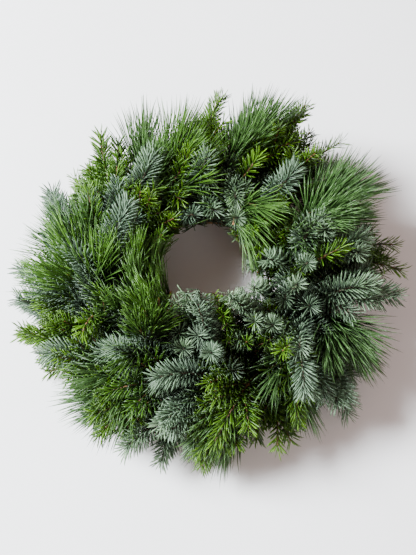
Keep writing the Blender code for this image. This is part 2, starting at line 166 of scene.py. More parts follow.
class Nodes:
    """Adds nodes to a geometry or shader tree, and joins their sockets."""

    def __init__(self, tree: bpy.types.NodeTree) -> None:
        """Takes the tree to build in."""
        self.tree = tree

    def add(self, kind: str, inputs: dict | None = None, **settings: object) -> bpy.types.Node:
        """Adds a node.

        Args:
            kind: The node's type.
            inputs: A value or a socket for each input, by its name or number.
            **settings: The node's own properties.

        Returns:
            The new node.
        """
        node = self.tree.nodes.new(kind)
        for name, value in settings.items():
            setattr(node, name, value)
        for key, value in (inputs or {}).items():
            self.join(node.inputs[key], value)
        return node

    def join(self, socket: Socket, value: Feed | str) -> None:
        """Links a socket to another, or sets its value.

        Args:
            socket: The input to fill.
            value: A socket, or a plain value. A colour has no alpha.
        """
        if isinstance(value, Socket):
            self.tree.links.new(value, socket)
        elif socket.type == "RGBA":
            socket.default_value = (*value, 1)
        else:
            socket.default_value = value

    def number(self, operation: str, *values: Feed) -> Socket:
        """The result of a Math node."""
        return self.add("ShaderNodeMath", dict(enumerate(values)), operation=operation).outputs[0]

    def plus(self, one: Feed, other: Feed) -> Socket:
        """The sum of two numbers."""
        return self.number("ADD", one, other)

    def minus(self, one: Feed, other: Feed) -> Socket:
        """A number less another."""
        return self.number("SUBTRACT", one, other)

    def times(self, one: Feed, other: Feed) -> Socket:
        """The product of two numbers."""
        return self.number("MULTIPLY", one, other)

    def across(self, one: Feed, other: Feed) -> Socket:
        """The length of a right triangle's long side."""
        return self.number("SQRT", self.plus(self.times(one, one), self.times(other, other)))

    def vector(self, operation: str, *values: Feed) -> Socket:
        """The result of a Vector Math node on vectors."""
        node = self.add("ShaderNodeVectorMath", dict(enumerate(values)), operation=operation)
        return node.outputs[0]

    def scaled(self, vector: Socket, size: Feed) -> Socket:
        """A vector times a number."""
        node = self.add("ShaderNodeVectorMath", {0: vector, "Scale": size}, operation="SCALE")
        return node.outputs[0]

    def blend(self, share: Feed, low: Feed, high: Feed) -> Socket:
        """A number between two others, at a share of the way."""
        node = self.add("ShaderNodeMix", {0: share, 2: low, 3: high}, data_type="FLOAT")
        return node.outputs[0]

    def blend_vector(self, share: Feed, low: Feed, high: Feed) -> Socket:
        """A vector between two others, at a share of the way."""
        node = self.add("ShaderNodeMix", {0: share, 4: low, 5: high}, data_type="VECTOR")
        return node.outputs[1]

    def blend_colour(self, share: Feed, low: Feed, high: Feed) -> Socket:
        """A colour between two others, at a share of the way."""
        node = self.add("ShaderNodeMix", {0: share, 6: low, 7: high}, data_type="RGBA")
        return node.outputs[2]

    def ramp(self, value: Socket, start: float, end: float) -> Socket:
        """A smooth rise from 0 to 1 between two values."""
        inputs = {"Value": value, "From Min": start, "From Max": end}
        return self.add("ShaderNodeMapRange", inputs, interpolation_type="SMOOTHSTEP").outputs[0]

    def clamp(self, value: Socket, low: Feed, high: Feed) -> Socket:
        """A number held between two others."""
        return self.add("ShaderNodeClamp", {"Value": value, "Min": low, "Max": high}).outputs[0]

    def split(self, vector: Socket) -> Sequence[Socket]:
        """A vector's three parts."""
        return self.add("ShaderNodeSeparateXYZ", {0: vector}).outputs

    def combine(self, x: Feed, y: Feed, z: Feed) -> Socket:
        """A vector from three numbers."""
        return self.add("ShaderNodeCombineXYZ", {0: x, 1: y, 2: z}).outputs[0]

    def profile(self, value: Socket, points: Sequence[tuple[float, float]]) -> Socket:
        """A number read from a smooth curve.

        Args:
            value: Where along the curve to read, from 0 to 1.
            points: The points that the curve goes through, from its start to its end.

        Returns:
            The number.
        """
        node = self.add("ShaderNodeFloatCurve", {"Value": value})
        curve = node.mapping.curves[0]
        while len(curve.points) < len(points):
            curve.points.new(0, 0)
        for point, place in zip(curve.points, points):
            point.location = place
        node.mapping.update()
        return node.outputs[0]


class GeometryTree(Nodes):
    """A Geometry Nodes tree with named inputs, which ends in plain meshes."""

    def __init__(self, name: str, inputs: dict[str, str]) -> None:
        """Makes the tree and its sockets.

        Args:
            name: The tree's name.
            inputs: The socket type of each input after the geometry, by its name.
        """
        geometry = {"Geometry": "Geometry"}
        super().__init__(new_group(name, "GeometryNodeTree", geometry | inputs, geometry))
        self.given = self.add("NodeGroupInput").outputs

    def attribute(self, name: str, kind: str = "FLOAT") -> Socket:
        """A value that the lines carry from point to point."""
        node = self.add("GeometryNodeInputNamedAttribute", {"Name": name}, data_type=kind)
        return node.outputs[0]

    def store(self, shape: Socket, name: str, value: Feed, kind: str = "FLOAT") -> Socket:
        """Keeps a value on a shape's points, for the material to read."""
        inputs = {"Geometry": shape, "Name": name, "Value": value}
        return self.add("GeometryNodeStoreNamedAttribute", inputs, data_type=kind).outputs[0]

    def chance(self, low: float, high: float, offset: int) -> Socket:
        """A random number for each point, from the tree's own seed and an offset to it."""
        inputs = {2: low, 3: high, "Seed": self.plus(self.given["Seed"], offset)}
        return self.add("FunctionNodeRandomValue", inputs).outputs[1]

    def sweep(self, line: Socket, sides: Feed, radius: Socket) -> Socket:
        """A closed tube along a line.

        Args:
            line: The line.
            sides: Corners of the tube's section.
            radius: The tube's radius at each point of the line.

        Returns:
            The tube.
        """
        circle = self.add("GeometryNodeCurvePrimitiveCircle", {"Resolution": sides, "Radius": 1.0})
        inputs = {
            "Curve": line, "Profile Curve": circle.outputs[0], "Scale": radius, "Fill Caps": True,
        }
        return self.add("GeometryNodeCurveToMesh", inputs).outputs[0]

    def finish(self, shape: Socket, material: Socket) -> Socket:
        """Makes instances real, and gives the shape its material.

        Args:
            shape: The shape.
            material: Its material.

        Returns:
            The finished shape.
        """
        shape = self.add("GeometryNodeRealizeInstances", {0: shape}).outputs[0]
        inputs = {"Geometry": shape, "Material": material}
        return self.add("GeometryNodeSetMaterial", inputs).outputs[0]

    def end(self, *shapes: Socket) -> None:
        """Joins the shapes into the tree's result.

        Args:
            *shapes: The shapes.
        """
        joined = self.add("GeometryNodeJoinGeometry")
        for shape in shapes:
            self.tree.links.new(shape, joined.inputs[0])
        self.add("NodeGroupOutput", {0: joined.outputs[0]})

    def apply(self, obj: bpy.types.Object, values: dict) -> None:
        """Runs the tree on an object, and leaves a plain mesh.

        Args:
            obj: A mesh object that holds the lines.
            values: A value for each input, by its name.
        """
        modifier = obj.modifiers.new(self.tree.name, "NODES")
        modifier.node_group = self.tree
        for item in self.tree.interface.items_tree:
            if item.in_out == "INPUT" and item.name in values:
                modifier[item.identifier] = values[item.name]
        graph = bpy.context.evaluated_depsgraph_get()
        shape = obj.evaluated_get(graph)
        mesh = bpy.data.meshes.new_from_object(
            shape, preserve_all_data_layers=True, depsgraph=graph
        )
        obj.modifiers.clear()
        lines, obj.data = obj.data, mesh
        bpy.data.meshes.remove(lines)
        mesh.name = obj.name


# Lines that things grow or run along


def bezier(controls: Sequence[Vector], steps: int) -> list[Vector]:
    """Points along a Bezier curve, without its first one.

    Args:
        controls: Its control points, from its start to its end.
        steps: How many points.

    Returns:
        The points.
    """
    points = []
    for step in range(1, steps + 1):
        left = list(controls)
        while len(left) > 1:
            left = [one.lerp(other, step / steps) for one, other in zip(left, left[1:])]
        points.append(left[0])
    return points


def along(path: Sequence[Vector], share: float) -> tuple[Vector, Vector]:
    """The point at a share of a path's length, and the path's direction there.

    Args:
        path: The points of the path.
        share: From 0 at its start to 1 at its end.

    Returns:
        The point and the unit direction.
    """
    lengths = [(b - a).length for a, b in zip(path, path[1:])]
    left = share * sum(lengths)
    for i, length in enumerate(lengths):
        if left <= length or i == len(lengths) - 1:
            ahead = (path[i + 1] - path[i]).normalized()
            return path[i] + ahead * left, ahead
        left -= length
    raise ValueError("a path needs two points")


def smooth_loop(points: Sequence[Vector], steps: int) -> list[Vector]:
    """A closed loop through the points, with rounded corners.

    Args:
        points: The corners of the loop.
        steps: How many points to give for each of them.

    Returns:
        The finer loop.
    """
    count, finer = len(points), []
    for i in range(count):
        a, b, c, d = (points[(i + k) % count] for k in (-1, 0, 1, 2))
        for step in range(steps):
            t = step / steps
            finer.append(0.5 * (
                2 * b + (c - a) * t + (2 * a - 5 * b + 4 * c - d) * t**2
                + (3 * b - a - 3 * c + d) * t**3
            ))
    return finer


@dataclass
class Line:
    """One line for a tree to follow, with what its points carry.

    Attributes:
        points: The line's points.
        values: A list of numbers for each name, one for each point.
        above: The direction of the line's upper side.
        closed: True for a loop.
    """

    points: list[Vector]
    values: dict[str, list[float]]
    above: Vector = field(default_factory=lambda: Vector((0, 0, 1)))
    closed: bool = False


def new_object(name: str, data: bpy.types.ID) -> bpy.types.Object:
    """Puts a new object into the scene, at the origin.

    Args:
        name: The object's name.
        data: Its mesh, light or camera.

    Returns:
        The object.
    """
    obj = bpy.data.objects.new(name, data)
    bpy.context.scene.collection.objects.link(obj)
    return obj


def shape_object(name: str, shape: bmesh.types.BMesh, material: bpy.types.Material) -> bpy.types.Object:
    """Turns a shape into an object.

    Args:
        name: The object's name.
        shape: The shape, which is freed.
        material: Its material.

    Returns:
        The object.
    """
    mesh = bpy.data.meshes.new(name)
    shape.to_mesh(mesh)
    shape.free()
    mesh.materials.append(material)
    return new_object(name, mesh)


def lines_object(name: str, lines: Sequence[Line]) -> bpy.types.Object:
    """An object whose edges are some lines.

    Args:
        name: The object's name.
        lines: The lines, which all carry the same values.

    Returns:
        The object, in the scene.
    """
    points, edges = [], []
    for line in lines:
        first, count = len(points), len(line.points)
        points += [tuple(p) for p in line.points]
        edges += [(first + i, first + i + 1) for i in range(count - 1)]
        if line.closed:
            edges.append((first + count - 1, first))
    mesh = bpy.data.meshes.new(name)
    mesh.from_pydata(points, edges, [])
    for carried in lines[0].values:
        made = mesh.attributes.new(carried, "FLOAT", "POINT")
        made.data.foreach_set("value", [v for line in lines for v in line.values[carried]])
    above = mesh.attributes.new("above", "FLOAT_VECTOR", "POINT")
    above.data.foreach_set("vector", [v for line in lines for _ in line.points for v in line.above])
    return new_object(name, mesh)


def join_pieces(objects: Sequence[bpy.types.Object]) -> bpy.types.Object:
    """Joins plain mesh objects into the first of them.

    Args:
        objects: The objects, which all sit at the origin.

    Returns:
        The first object, with everything in it.
    """
    shape = bmesh.new()
    for obj in objects:
        shape.from_mesh(obj.data)
    first = objects[0]
    shape.to_mesh(first.data)
    shape.free()
    first.data.shade_smooth()
    for other in objects[1:]:
        mesh = other.data
        bpy.data.objects.remove(other)
        bpy.data.meshes.remove(mesh)
    return first


# Finishes


class ShaderGroups:
    """Effects that several materials share."""

    # How many patches of bloom there are to a metre, and how much rougher wax is.
    PATCHES = 38.0
    WAX_ROUGHNESS = 0.15

    def __init__(self) -> None:
        """Builds the groups."""
        self.needle = self.build_needle()
        self.grain = self.build_grain()

    @staticmethod
    def start(
        name: str, colours: Sequence[str], numbers: Sequence[str], outputs: dict[str, str]
    ) -> tuple[Nodes, Sequence[Socket]]:
        """Makes a group and its sockets.

        Args:
            name: The group's name.
            colours: The names of the colours that it takes.
            numbers: The names of the numbers that it takes.
            outputs: The socket type of each output, by its name.

        Returns:
            The group's nodes, and the sockets that its inputs come in by.
        """
        inputs = dict.fromkeys(colours, "Color") | dict.fromkeys(numbers, "Float")
        nodes = Nodes(new_group(name, "ShaderNodeTree", inputs, outputs))
        return nodes, nodes.add("NodeGroupInput").outputs

    def build_needle(self) -> bpy.types.NodeTree:
        """Colours a needle along its length, across its width and by its place on the shoot, with
        painted shade at its foot and deep inside the wreath.

        Returns:
            The group, which puts out a colour and a roughness.
        """
        n, given = self.start(
            "Needle colours", ("Root", "Dark", "Light", "Tip", "Cool", "Cool tip", "Band"),
            ("New growth", "Bands", "Bloom", "Roughness", "Ring radius", "Ring height", "Old", "Fresh"),
            {"Color": "Color", "Roughness": "Float"},
        )

        def read(name: str, output: str = "Fac") -> Socket:
            """What the needles' points carry under a name."""
            return n.add("ShaderNodeAttribute", attribute_name=name).outputs[output]

        # The points carry how far across and along the needle they are, a random tint, the
        # bunch's shade and coolness, and how far along the leafy shoot the needle stands.
        blade = n.split(read("blade", "Vector"))
        coordinates = n.add("ShaderNodeTexCoord").outputs["Object"]
        inputs = {"Vector": coordinates, "Scale": self.PATCHES, "Detail": 3.0}
        patches = n.add("ShaderNodeTexNoise", inputs)
        tint = n.ramp(read("tint"), 0.15, 1.0)
        light = n.times(n.plus(tint, read("shade")), 0.5)
        cool = read("cool")
        fresh_colour = n.blend_colour(cool, given["Light"], given["Cool"])
        colour = n.blend_colour(light, given["Dark"], fresh_colour)
        # New growth is at the shoot's end, and painted light makes each needle's own tip lighter.
        new_growth_and_painted_light = n.times(n.ramp(read("leaf"), 0.5, 1.0), given["New growth"])
        new_growth_and_painted_light = n.number("MAXIMUM", new_growth_and_painted_light, n.times(n.ramp(blade[1], 0.4, 1.0), 0.5))
        new_growth_and_painted_light = n.times(new_growth_and_painted_light, n.blend(tint, 0.35, 1.0))
        tip_colour = n.blend_colour(cool, given["Tip"], given["Cool tip"])
        colour = n.blend_colour(new_growth_and_painted_light, colour, tip_colour)
        # Two pale bands run beside the needle's middle, with patches of bloom.
        edge = n.number("ABSOLUTE", blade[0])
        band = n.times(n.ramp(edge, 0.15, 0.45), n.ramp(edge, 0.95, 0.6))
        band = n.times(band, given["Bands"])
        bloom = n.times(n.ramp(patches.outputs["Fac"], 0.35, 0.75), given["Bloom"])
        pale = n.number("MINIMUM", n.plus(band, bloom), 1.0)
        colour = n.blend_colour(pale, colour, given["Band"])
        # Painted shade darkens each needle towards its foot, where it meets the shoot.
        colour = n.blend_colour(n.ramp(blade[1], 0.0, 0.4), given["Root"], colour)
        # Painted shade darkens the needles deep inside the wreath, near the straw, towards the root
        # colour; it also stands for the darker colour of older needles there.
        x, y, z = n.split(coordinates)
        beside = n.minus(n.across(x, y), given["Ring radius"])
        over = n.minus(z, given["Ring height"])
        depth = n.across(beside, over)
        inputs = {"Value": depth, "From Min": given["Old"], "From Max": given["Fresh"]}
        unshaded = n.add("ShaderNodeMapRange", inputs).outputs[0]
        colour = n.blend_colour(unshaded, given["Root"], colour)
        rough = n.plus(given["Roughness"], n.times(pale, self.WAX_ROUGHNESS))
        n.add("NodeGroupOutput", {"Color": colour, "Roughness": rough})
        return n.tree

    def build_grain(self) -> bpy.types.NodeTree:
        """Streaks and specks in two colours, with the height that goes with them.

        Returns:
            The group, which puts out a colour, a mask and a height.
        """
        n, given = self.start(
            "Bark and straw grain", ("Dark", "Light"), ("Scale", "Speck scale", "Specks"),
            {"Color": "Color", "Mask": "Float", "Height": "Float"},
        )
        coordinates = n.add("ShaderNodeTexCoord").outputs["Object"]
        inputs = {"Vector": coordinates, "Scale": given["Scale"], "Detail": 6.0, "Distortion": 0.6}
        streaks = n.ramp(n.add("ShaderNodeTexNoise", inputs).outputs["Fac"], 0.3, 0.7)
        inputs = {"Vector": coordinates, "Scale": given["Speck scale"]}
        cells = n.ramp(n.add("ShaderNodeTexVoronoi", inputs).outputs["Distance"], 0.0, 0.5)
        specks = n.blend(given["Specks"], 1.0, cells)
        mask = n.times(streaks, specks)
        colour = n.blend_colour(mask, given["Dark"], given["Light"])
        height = n.plus(n.times(streaks, 0.6), specks)
        n.add("NodeGroupOutput", {"Color": colour, "Mask": mask, "Height": height})
        return n.tree


def new_material(name: str, sockets: dict) -> tuple[bpy.types.Material, Nodes, bpy.types.Node]:
    """A material with a Principled shader.

    Args:
        name: The material's name.
        sockets: Values for the shader's own sockets.

    Returns:
        The material, its nodes and its shader.
    """
    material = bpy.data.materials.new(name)
    material.use_nodes = True
    material.node_tree.nodes.clear()
    nodes = Nodes(material.node_tree)
    shader = nodes.add("ShaderNodeBsdfPrincipled", sockets)
    nodes.add("ShaderNodeOutputMaterial", {"Surface": shader.outputs[0]})
    return material, nodes, shader


@dataclass(frozen=True)
class NeedleFinish:
    """The finish of one species' needles.

    Attributes:
        name: The material's name.
        root: Colour of the painted shade at a needle's foot and deep inside the wreath.
        dark: Colour of old needles, and of the painted shade on a bunch's smaller twigs.
        light: Colour of young needles.
        tip: Colour of needles at the end of a shoot, and of the painted light at each needle's own tip.
        cool: Colour of young needles on a bluish bunch.
        cool_tip: Colour of needles at the end of its shoots, and of the painted light at each needle's
            own tip.
        new_growth: How far the colour changes towards the end of a shoot.
        band: Colour of the waxy bands.
        bands: How strong the bands are.
        bloom: How much wax lies between them.
        roughness: The least roughness.
        gloss: How much of the light a needle mirrors.
    """

    name: str
    root: Colour
    dark: Colour
    light: Colour
    tip: Colour
    cool: Colour
    cool_tip: Colour
    new_growth: float
    band: Colour
    bands: float
    bloom: float
    roughness: float
    gloss: float

    # Painted shade, which also stands for the darker older needles: needles nearer than the first
    # distance to the middle of the ring's section are fully darkened, and those beyond the second not
    # at all.
    OLD = 46 * MM
    FRESH = 88 * MM

    def build(self, groups: ShaderGroups, ring: RingFrame) -> bpy.types.Material:
        """Makes the material.

        Args:
            groups: The shared effects.
            ring: Where the ring runs.

        Returns:
            The material.
        """
        material, n, shader = new_material(self.name, {"Specular IOR Level": self.gloss})
        inputs = socket_values(self, "name", "gloss")
        inputs |= {"Ring radius": ring.radius, "Ring height": ring.height}
        inputs |= {"Old": self.OLD, "Fresh": self.FRESH}
        group = n.add("ShaderNodeGroup", inputs, node_tree=groups.needle)
        n.join(shader.inputs["Base Color"], group.outputs["Color"])
        n.join(shader.inputs["Roughness"], group.outputs["Roughness"])
        return material


@dataclass(frozen=True)
class GrainFinish:
    """The finish of bark, buds, straw or worn lacquer.

    Attributes:
        name: The material's name.
        dark: The colour between the streaks.
        light: The colour of the streaks.
        scale: How many streaks there are to a metre.
        speck_scale: How many specks there are to a metre.
        specks: How strong the specks are.
        relief: How far the grain stands out.
        roughness: The shader's roughness.
        worn: Its roughness on the streaks, where that differs.
        strength: How strong the relief is.
        metallic: How metallic the surface is.
        coat: How much clear coat it has.
    """

    name: str
    dark: Colour
    light: Colour
    scale: float
    speck_scale: float
    specks: float
    relief: float
    roughness: float
    worn: float | None = None
    strength: float = 0.7
    metallic: float = 0.0
    coat: float = 0.0

    def build(self, groups: ShaderGroups) -> bpy.types.Material:
        """Makes the material.

        Args:
            groups: The shared effects.

        Returns:
            The material.
        """
        sockets = {
            "Roughness": self.roughness, "Metallic": self.metallic, "Coat Weight": self.coat,
        }
        material, n, shader = new_material(self.name, sockets)
        own = ("name", "relief", "roughness", "worn", "strength", "metallic", "coat")
        group = n.add("ShaderNodeGroup", socket_values(self, *own), node_tree=groups.grain)
        colour, mask, height = group.outputs
        bump = {"Strength": self.strength, "Distance": self.relief, "Height": height}
        n.join(shader.inputs["Base Color"], colour)
        n.join(shader.inputs["Normal"], n.add("ShaderNodeBump", bump).outputs[0])
        if self.worn is not None:
            n.join(shader.inputs["Roughness"], n.blend(mask, self.roughness, self.worn))
        return material


@dataclass(frozen=True)
class TableFinish:
    """The pale table, with a hardly visible mottle.

    Attributes:
        name: The material's name.
        light: The table's colour.
        dark: The colour of the mottle.
        mottle: How many patches it has to a metre.
        roughness: The shader's roughness.
    """

    name: str = "pale table"
    light: Colour = (0.88, 0.862, 0.868)
    dark: Colour = (0.85, 0.828, 0.83)
    mottle: float = 2.2
    roughness: float = 0.75

    def build(self) -> bpy.types.Material:
        """Makes the material.

        Returns:
            The material.
        """
        material, n, shader = new_material(self.name, {"Roughness": self.roughness})
        coordinates = n.add("ShaderNodeTexCoord").outputs["Object"]
        inputs = {"Vector": coordinates, "Scale": self.mottle, "Detail": 4.0}
        noise = n.add("ShaderNodeTexNoise", inputs).outputs["Fac"]
        colour = n.blend_colour(n.ramp(noise, 0.3, 0.7), self.dark, self.light)
        n.join(shader.inputs["Base Color"], colour)
        return material


# The straw ring and its wire


@dataclass(frozen=True)
class RingFrame:
    """Where the ring runs: the circle in the middle of its section.

    Attributes:
        radius: The circle's radius.
        height: Its height over the table.
        half: Half the ring's thickness.
    """

    radius: float = 102.5 * MM
    height: float = 22.5 * MM
    half: float = 22.5 * MM

    def point(self, clock: float, section: float, distance: float) -> Vector:
        """A point beside the circle.

        Args:
            clock: The clock angle.
            section: The angle round the ring's section: 0 points outwards and 90 up.
            distance: How far the point is from the circle.

        Returns:
            The point.
        """
        c, s = math.radians(clock), math.radians(section)
        radius = self.radius + distance * math.cos(s)
        height = self.height + distance * math.sin(s)
        return Vector((radius * math.sin(c), radius * math.cos(c), height))

    @staticmethod
    def clockwise(clock: float) -> Vector:
        """The unit direction that the ring runs in at a clock angle."""
        c = math.radians(clock)
        return Vector((math.cos(c), -math.sin(c), 0))

    @staticmethod
    def outwards(clock: float, section: float = 0) -> Vector:
        """The unit direction away from the circle."""
        c, s = math.radians(clock), math.radians(section)
        return Vector((math.cos(s) * math.sin(c), math.cos(s) * math.cos(c), math.sin(s)))


@dataclass(frozen=True)
class WireCourse:
    """How the binding wire is wound.

    Attributes:
        turns: Its turns round the ring.
        radius: The wire's radius.
        over_stems: Distance of its front from the middle of the ring's section.
        at_side: The same at the ring's sides, where it comes down to the groove.
        behind: The same in the groove.
    """

    turns: int = 16
    radius: float = 0.55 * MM
    over_stems: float = 27.75 * MM
    at_side: float = 26 * MM
    behind: float = 22.48 * MM

    @property
    def pitch(self) -> float:
        """The clock angle from one turn to the next."""
        return 360 / self.turns

    def clock(self, turn: float, section: float) -> float:
        """The clock angle at which a turn crosses an angle of the ring's section."""
        return -self.pitch + self.pitch * (turn + section / 360)

    def corners(self, ring: RingFrame) -> list[Vector]:
        """The wire's line as one loop.

        Args:
            ring: The ring that it is wound on.

        Returns:
            Eleven points for each turn.
        """
        front = [(section, self.over_stems) for section in range(0, 151, 30)]
        back = [(225, self.behind), (255, self.behind), (285, self.behind)]
        turn_line = [*front, (180, self.at_side), *back, (330, self.at_side)]
        return [
            ring.point(self.clock(turn, section), section, distance)
            for turn in range(self.turns)
            for section, distance in turn_line
        ]


class SweepTree(GeometryTree):
    """Geometry Nodes that sweep a round section along lines."""

    def __init__(self) -> None:
        """Builds the tree."""
        super().__init__("Sweep along lines", {"Sides": "Int", "Material": "Material"})
        mesh = self.add("GeometryNodeMeshToCurve", {0: self.given["Geometry"]}).outputs[0]
        tube = self.sweep(mesh, self.given["Sides"], self.attribute("girth"))
        self.end(self.finish(tube, self.given["Material"]))


@dataclass
class BundledStraw:
    """The straw ring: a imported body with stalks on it, pinched by each turn of the wire.

    Attributes:
        ring: Where the ring runs.
        wire: How the wire is wound.
        groove: How deep the wire pinches.
        body_inset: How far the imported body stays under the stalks.
        sides: Corners of the body's section.
        columns: Columns of the body's mesh for each turn of the wire.
        stalks: How many stalks lie on the body.
        stalk_radius: The thinnest and the thickest stalk.
        stalk_span: The shortest and the longest stalk, as clock angles.
        rest: Lowest height of a stalk's middle over the table.
    """

    ring: RingFrame
    wire: WireCourse
    groove: float = 1.7 * MM
    body_inset: float = 1.0 * MM
    sides: int = 28
    columns: int = 6
    stalks: int = 330
    stalk_radius: tuple[float, float] = (0.7 * MM, 1.3 * MM)
    stalk_span: tuple[float, float] = (24, 60)
    rest: float = 1.0 * MM

    SEED = 71
    # How far from a wire the straw is pinched, as a share of half the way to the next.
    PINCH = 0.35
    # How far a stalk may wander round the section, how many steps and corners it has, and how
    # deep it lies, as a share of its radius.
    WANDER = 14
    STALK_STEPS = 6
    STALK_SIDES = 4
    SUNK = 0.4

    def surface(self, clock: float, section: float) -> float:
        """Distance of the straw's surface from the middle of its section.

        Args:
            clock: The clock angle.
            section: The angle round the section.

        Returns:
            The distance, which is less near the wire.
        """
        turn = (clock - self.wire.clock(0, section)) / self.wire.pitch
        near = abs(turn - round(turn)) * 2
        return self.ring.half - self.groove * math.exp(-((near / self.PINCH) ** 2))

    def body(self, material: bpy.types.Material) -> bpy.types.Object:
        """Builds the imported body.

        Args:
            material: The straw.

        Returns:
            The body, as one closed mesh.
        """
        shape = bmesh.new()
        rounds = self.wire.turns * self.columns
        grid = []
        for column in range(rounds):
            circle = []
            for corner in range(self.sides):
                section = corner * 360 / self.sides
                clock = column * 360 / rounds
                distance = self.surface(clock, section) - self.body_inset
                point = self.ring.point(clock, section, distance)
                point.z = max(point.z, self.body_inset / 2)
                circle.append(shape.verts.new(point))
            grid.append(circle)
        for column in range(rounds):
            for corner in range(self.sides):
                after, up = (column + 1) % rounds, (corner + 1) % self.sides
                shape.faces.new((
                    grid[column][corner], grid[after][corner], grid[after][up], grid[column][up],
                ))
        bmesh.ops.recalc_face_normals(shape, faces=shape.faces)
        return shape_object("straw_body", shape, material)

    def stalk(self, draw: random.Random) -> Line:
        """One stalk's line.

        Args:
            draw: Where its random numbers come from.

        Returns:
            The line, along the ring with a slight wander.
        """
        clock, section = draw.uniform(0, 360), draw.uniform(0, 360)
        span = draw.uniform(*self.stalk_span)
        drift = draw.uniform(-self.WANDER, self.WANDER)
        radius = draw.uniform(*self.stalk_radius)
        sunk, points = radius * self.SUNK, []
        for i in range(self.STALK_STEPS + 1):
            share = i / self.STALK_STEPS
            here, around = clock + span * share, section + drift * share
            point = self.ring.point(here, around, self.surface(here, around) - sunk)
            point.z = max(point.z, self.rest + sunk)
            points.append(point)
        return Line(points, {"girth": [radius] * len(points)})

    def build(self, sweep: SweepTree, material: bpy.types.Material) -> bpy.types.Object:
        """Builds the whole ring as one piece.

        Args:
            sweep: The tree that makes the stalks.
            material: The straw.

        Returns:
            The piece.
        """
        draw = random.Random(self.SEED)
        lines = [self.stalk(draw) for _ in range(self.stalks)]
        obj = lines_object("bundled_straw", lines)
        sweep.apply(obj, {"Sides": self.STALK_SIDES, "Material": material})
        obj = join_pieces([obj, self.body(material)])
        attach(obj, "root")
        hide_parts("straw_ring")
        return obj


@dataclass
class BindingWire:
    """The long green wire that holds the stems to the ring.

    Attributes:
        ring: Where the ring runs.
        course: How the wire is wound.
        steps: Points between two corners of its line.
        sides: Corners of its section.
    """

    ring: RingFrame
    course: WireCourse
    steps: int = 4
    sides: int = 6

    # How far the wire stays over the table.
    OVER_TABLE = 0.3 * MM

    def build(self, sweep: SweepTree, material: bpy.types.Material) -> bpy.types.Object:
        """Builds the wire.

        Args:
            sweep: The tree that makes it.
            material: The lacquered wire.

        Returns:
            The piece.
        """
        points = smooth_loop(self.course.corners(self.ring), self.steps)
        for point in points:
            point.z = max(point.z, self.course.radius + self.OVER_TABLE)
        girth = [self.course.radius] * len(points)
        obj = lines_object("florists_wire", [Line(points, {"girth": girth}, closed=True)])
        sweep.apply(obj, {"Sides": self.sides, "Material": material})
        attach(obj, "root")
        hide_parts("binding_wire")
        return obj


# Foliage


@dataclass(frozen=True)
class NeedleForm:
    """The form of one species' needles, and how they stand on a shoot.

    All its angles are in radians.

    Attributes:
        length: A full needle's length.
        width: Its width.
        thickness: Its thickness.
        segments: How many pieces its curve has.
        spacing: Length of shoot from one ring of needles to the next.
        per_ring: Needles in a ring.
        foot_angle: Angle between needle and shoot where the foliage starts.
        tip_angle: The same at the end of the shoot.
        scatter: How far that angle varies.
        lowest: How far the lowest needles point below the shoot's own plane.
        highest: How far the highest needles point over it.
        curl: How far a needle bends along its length.
        droop: 0 where needles bend to the shoot's upper side, and 1 where they hang.
        bud: The length of a bud.
    """

    length: float
    width: float
    thickness: float
    segments: int
    spacing: float
    per_ring: int
    foot_angle: float
    tip_angle: float
    scatter: float
    lowest: float
    highest: float
    curl: float
    droop: float
    bud: float


@dataclass(frozen=True)
class Room:
    """The room that the foliage keeps to.

    Attributes:
        hole: Radius of the open middle at its brim.
        hole_foot: Its radius at the table.
        brim: Height of the brim.
        reach: The wreath's greatest radius.
        floor: Lowest height over the table.
        ceiling: Greatest height.
    """

    hole: float = 34 * MM
    hole_foot: float = 112 * MM
    brim: float = 80 * MM
    reach: float = 222 * MM
    floor: float = 4 * MM
    ceiling: float = 138 * MM

    # How far shoots stay off the ring.
    OFF_RING = 4 * MM

    def keep(self, point: Vector, margin: float, ring: RingFrame) -> Vector:
        """Moves a point of a shoot into the room, and off the ring.

        Args:
            point: The point.
            margin: How far inside the room it has to be.
            ring: The straw ring.

        Returns:
            The point where it may be.
        """
        across = math.hypot(point.x, point.y)
        up = point.z
        beside, over = across - ring.radius, up - ring.height
        apart = math.hypot(beside, over)
        least = ring.half + self.OFF_RING
        if 0 < apart < least:
            across = ring.radius + beside * least / apart
            up = ring.height + over * least / apart
        up = min(max(up, self.floor + margin), self.ceiling - margin)
        open_share = 1 - min(1, up / self.brim)
        hole = self.hole + (self.hole_foot - self.hole) * open_share
        across = min(max(across, hole + margin), self.reach - margin)
        flat = Vector((point.x, point.y, 0)).normalized() * across
        return Vector((flat.x, flat.y, up))


@dataclass(frozen=True)
class Taper:
    """How a needle or a bud tapers.

    Attributes:
        stations: Where its rings stand, against even steps.
        radii: Its radius along its length.
    """

    stations: tuple[tuple[float, float], ...]
    radii: tuple[tuple[float, float], ...]


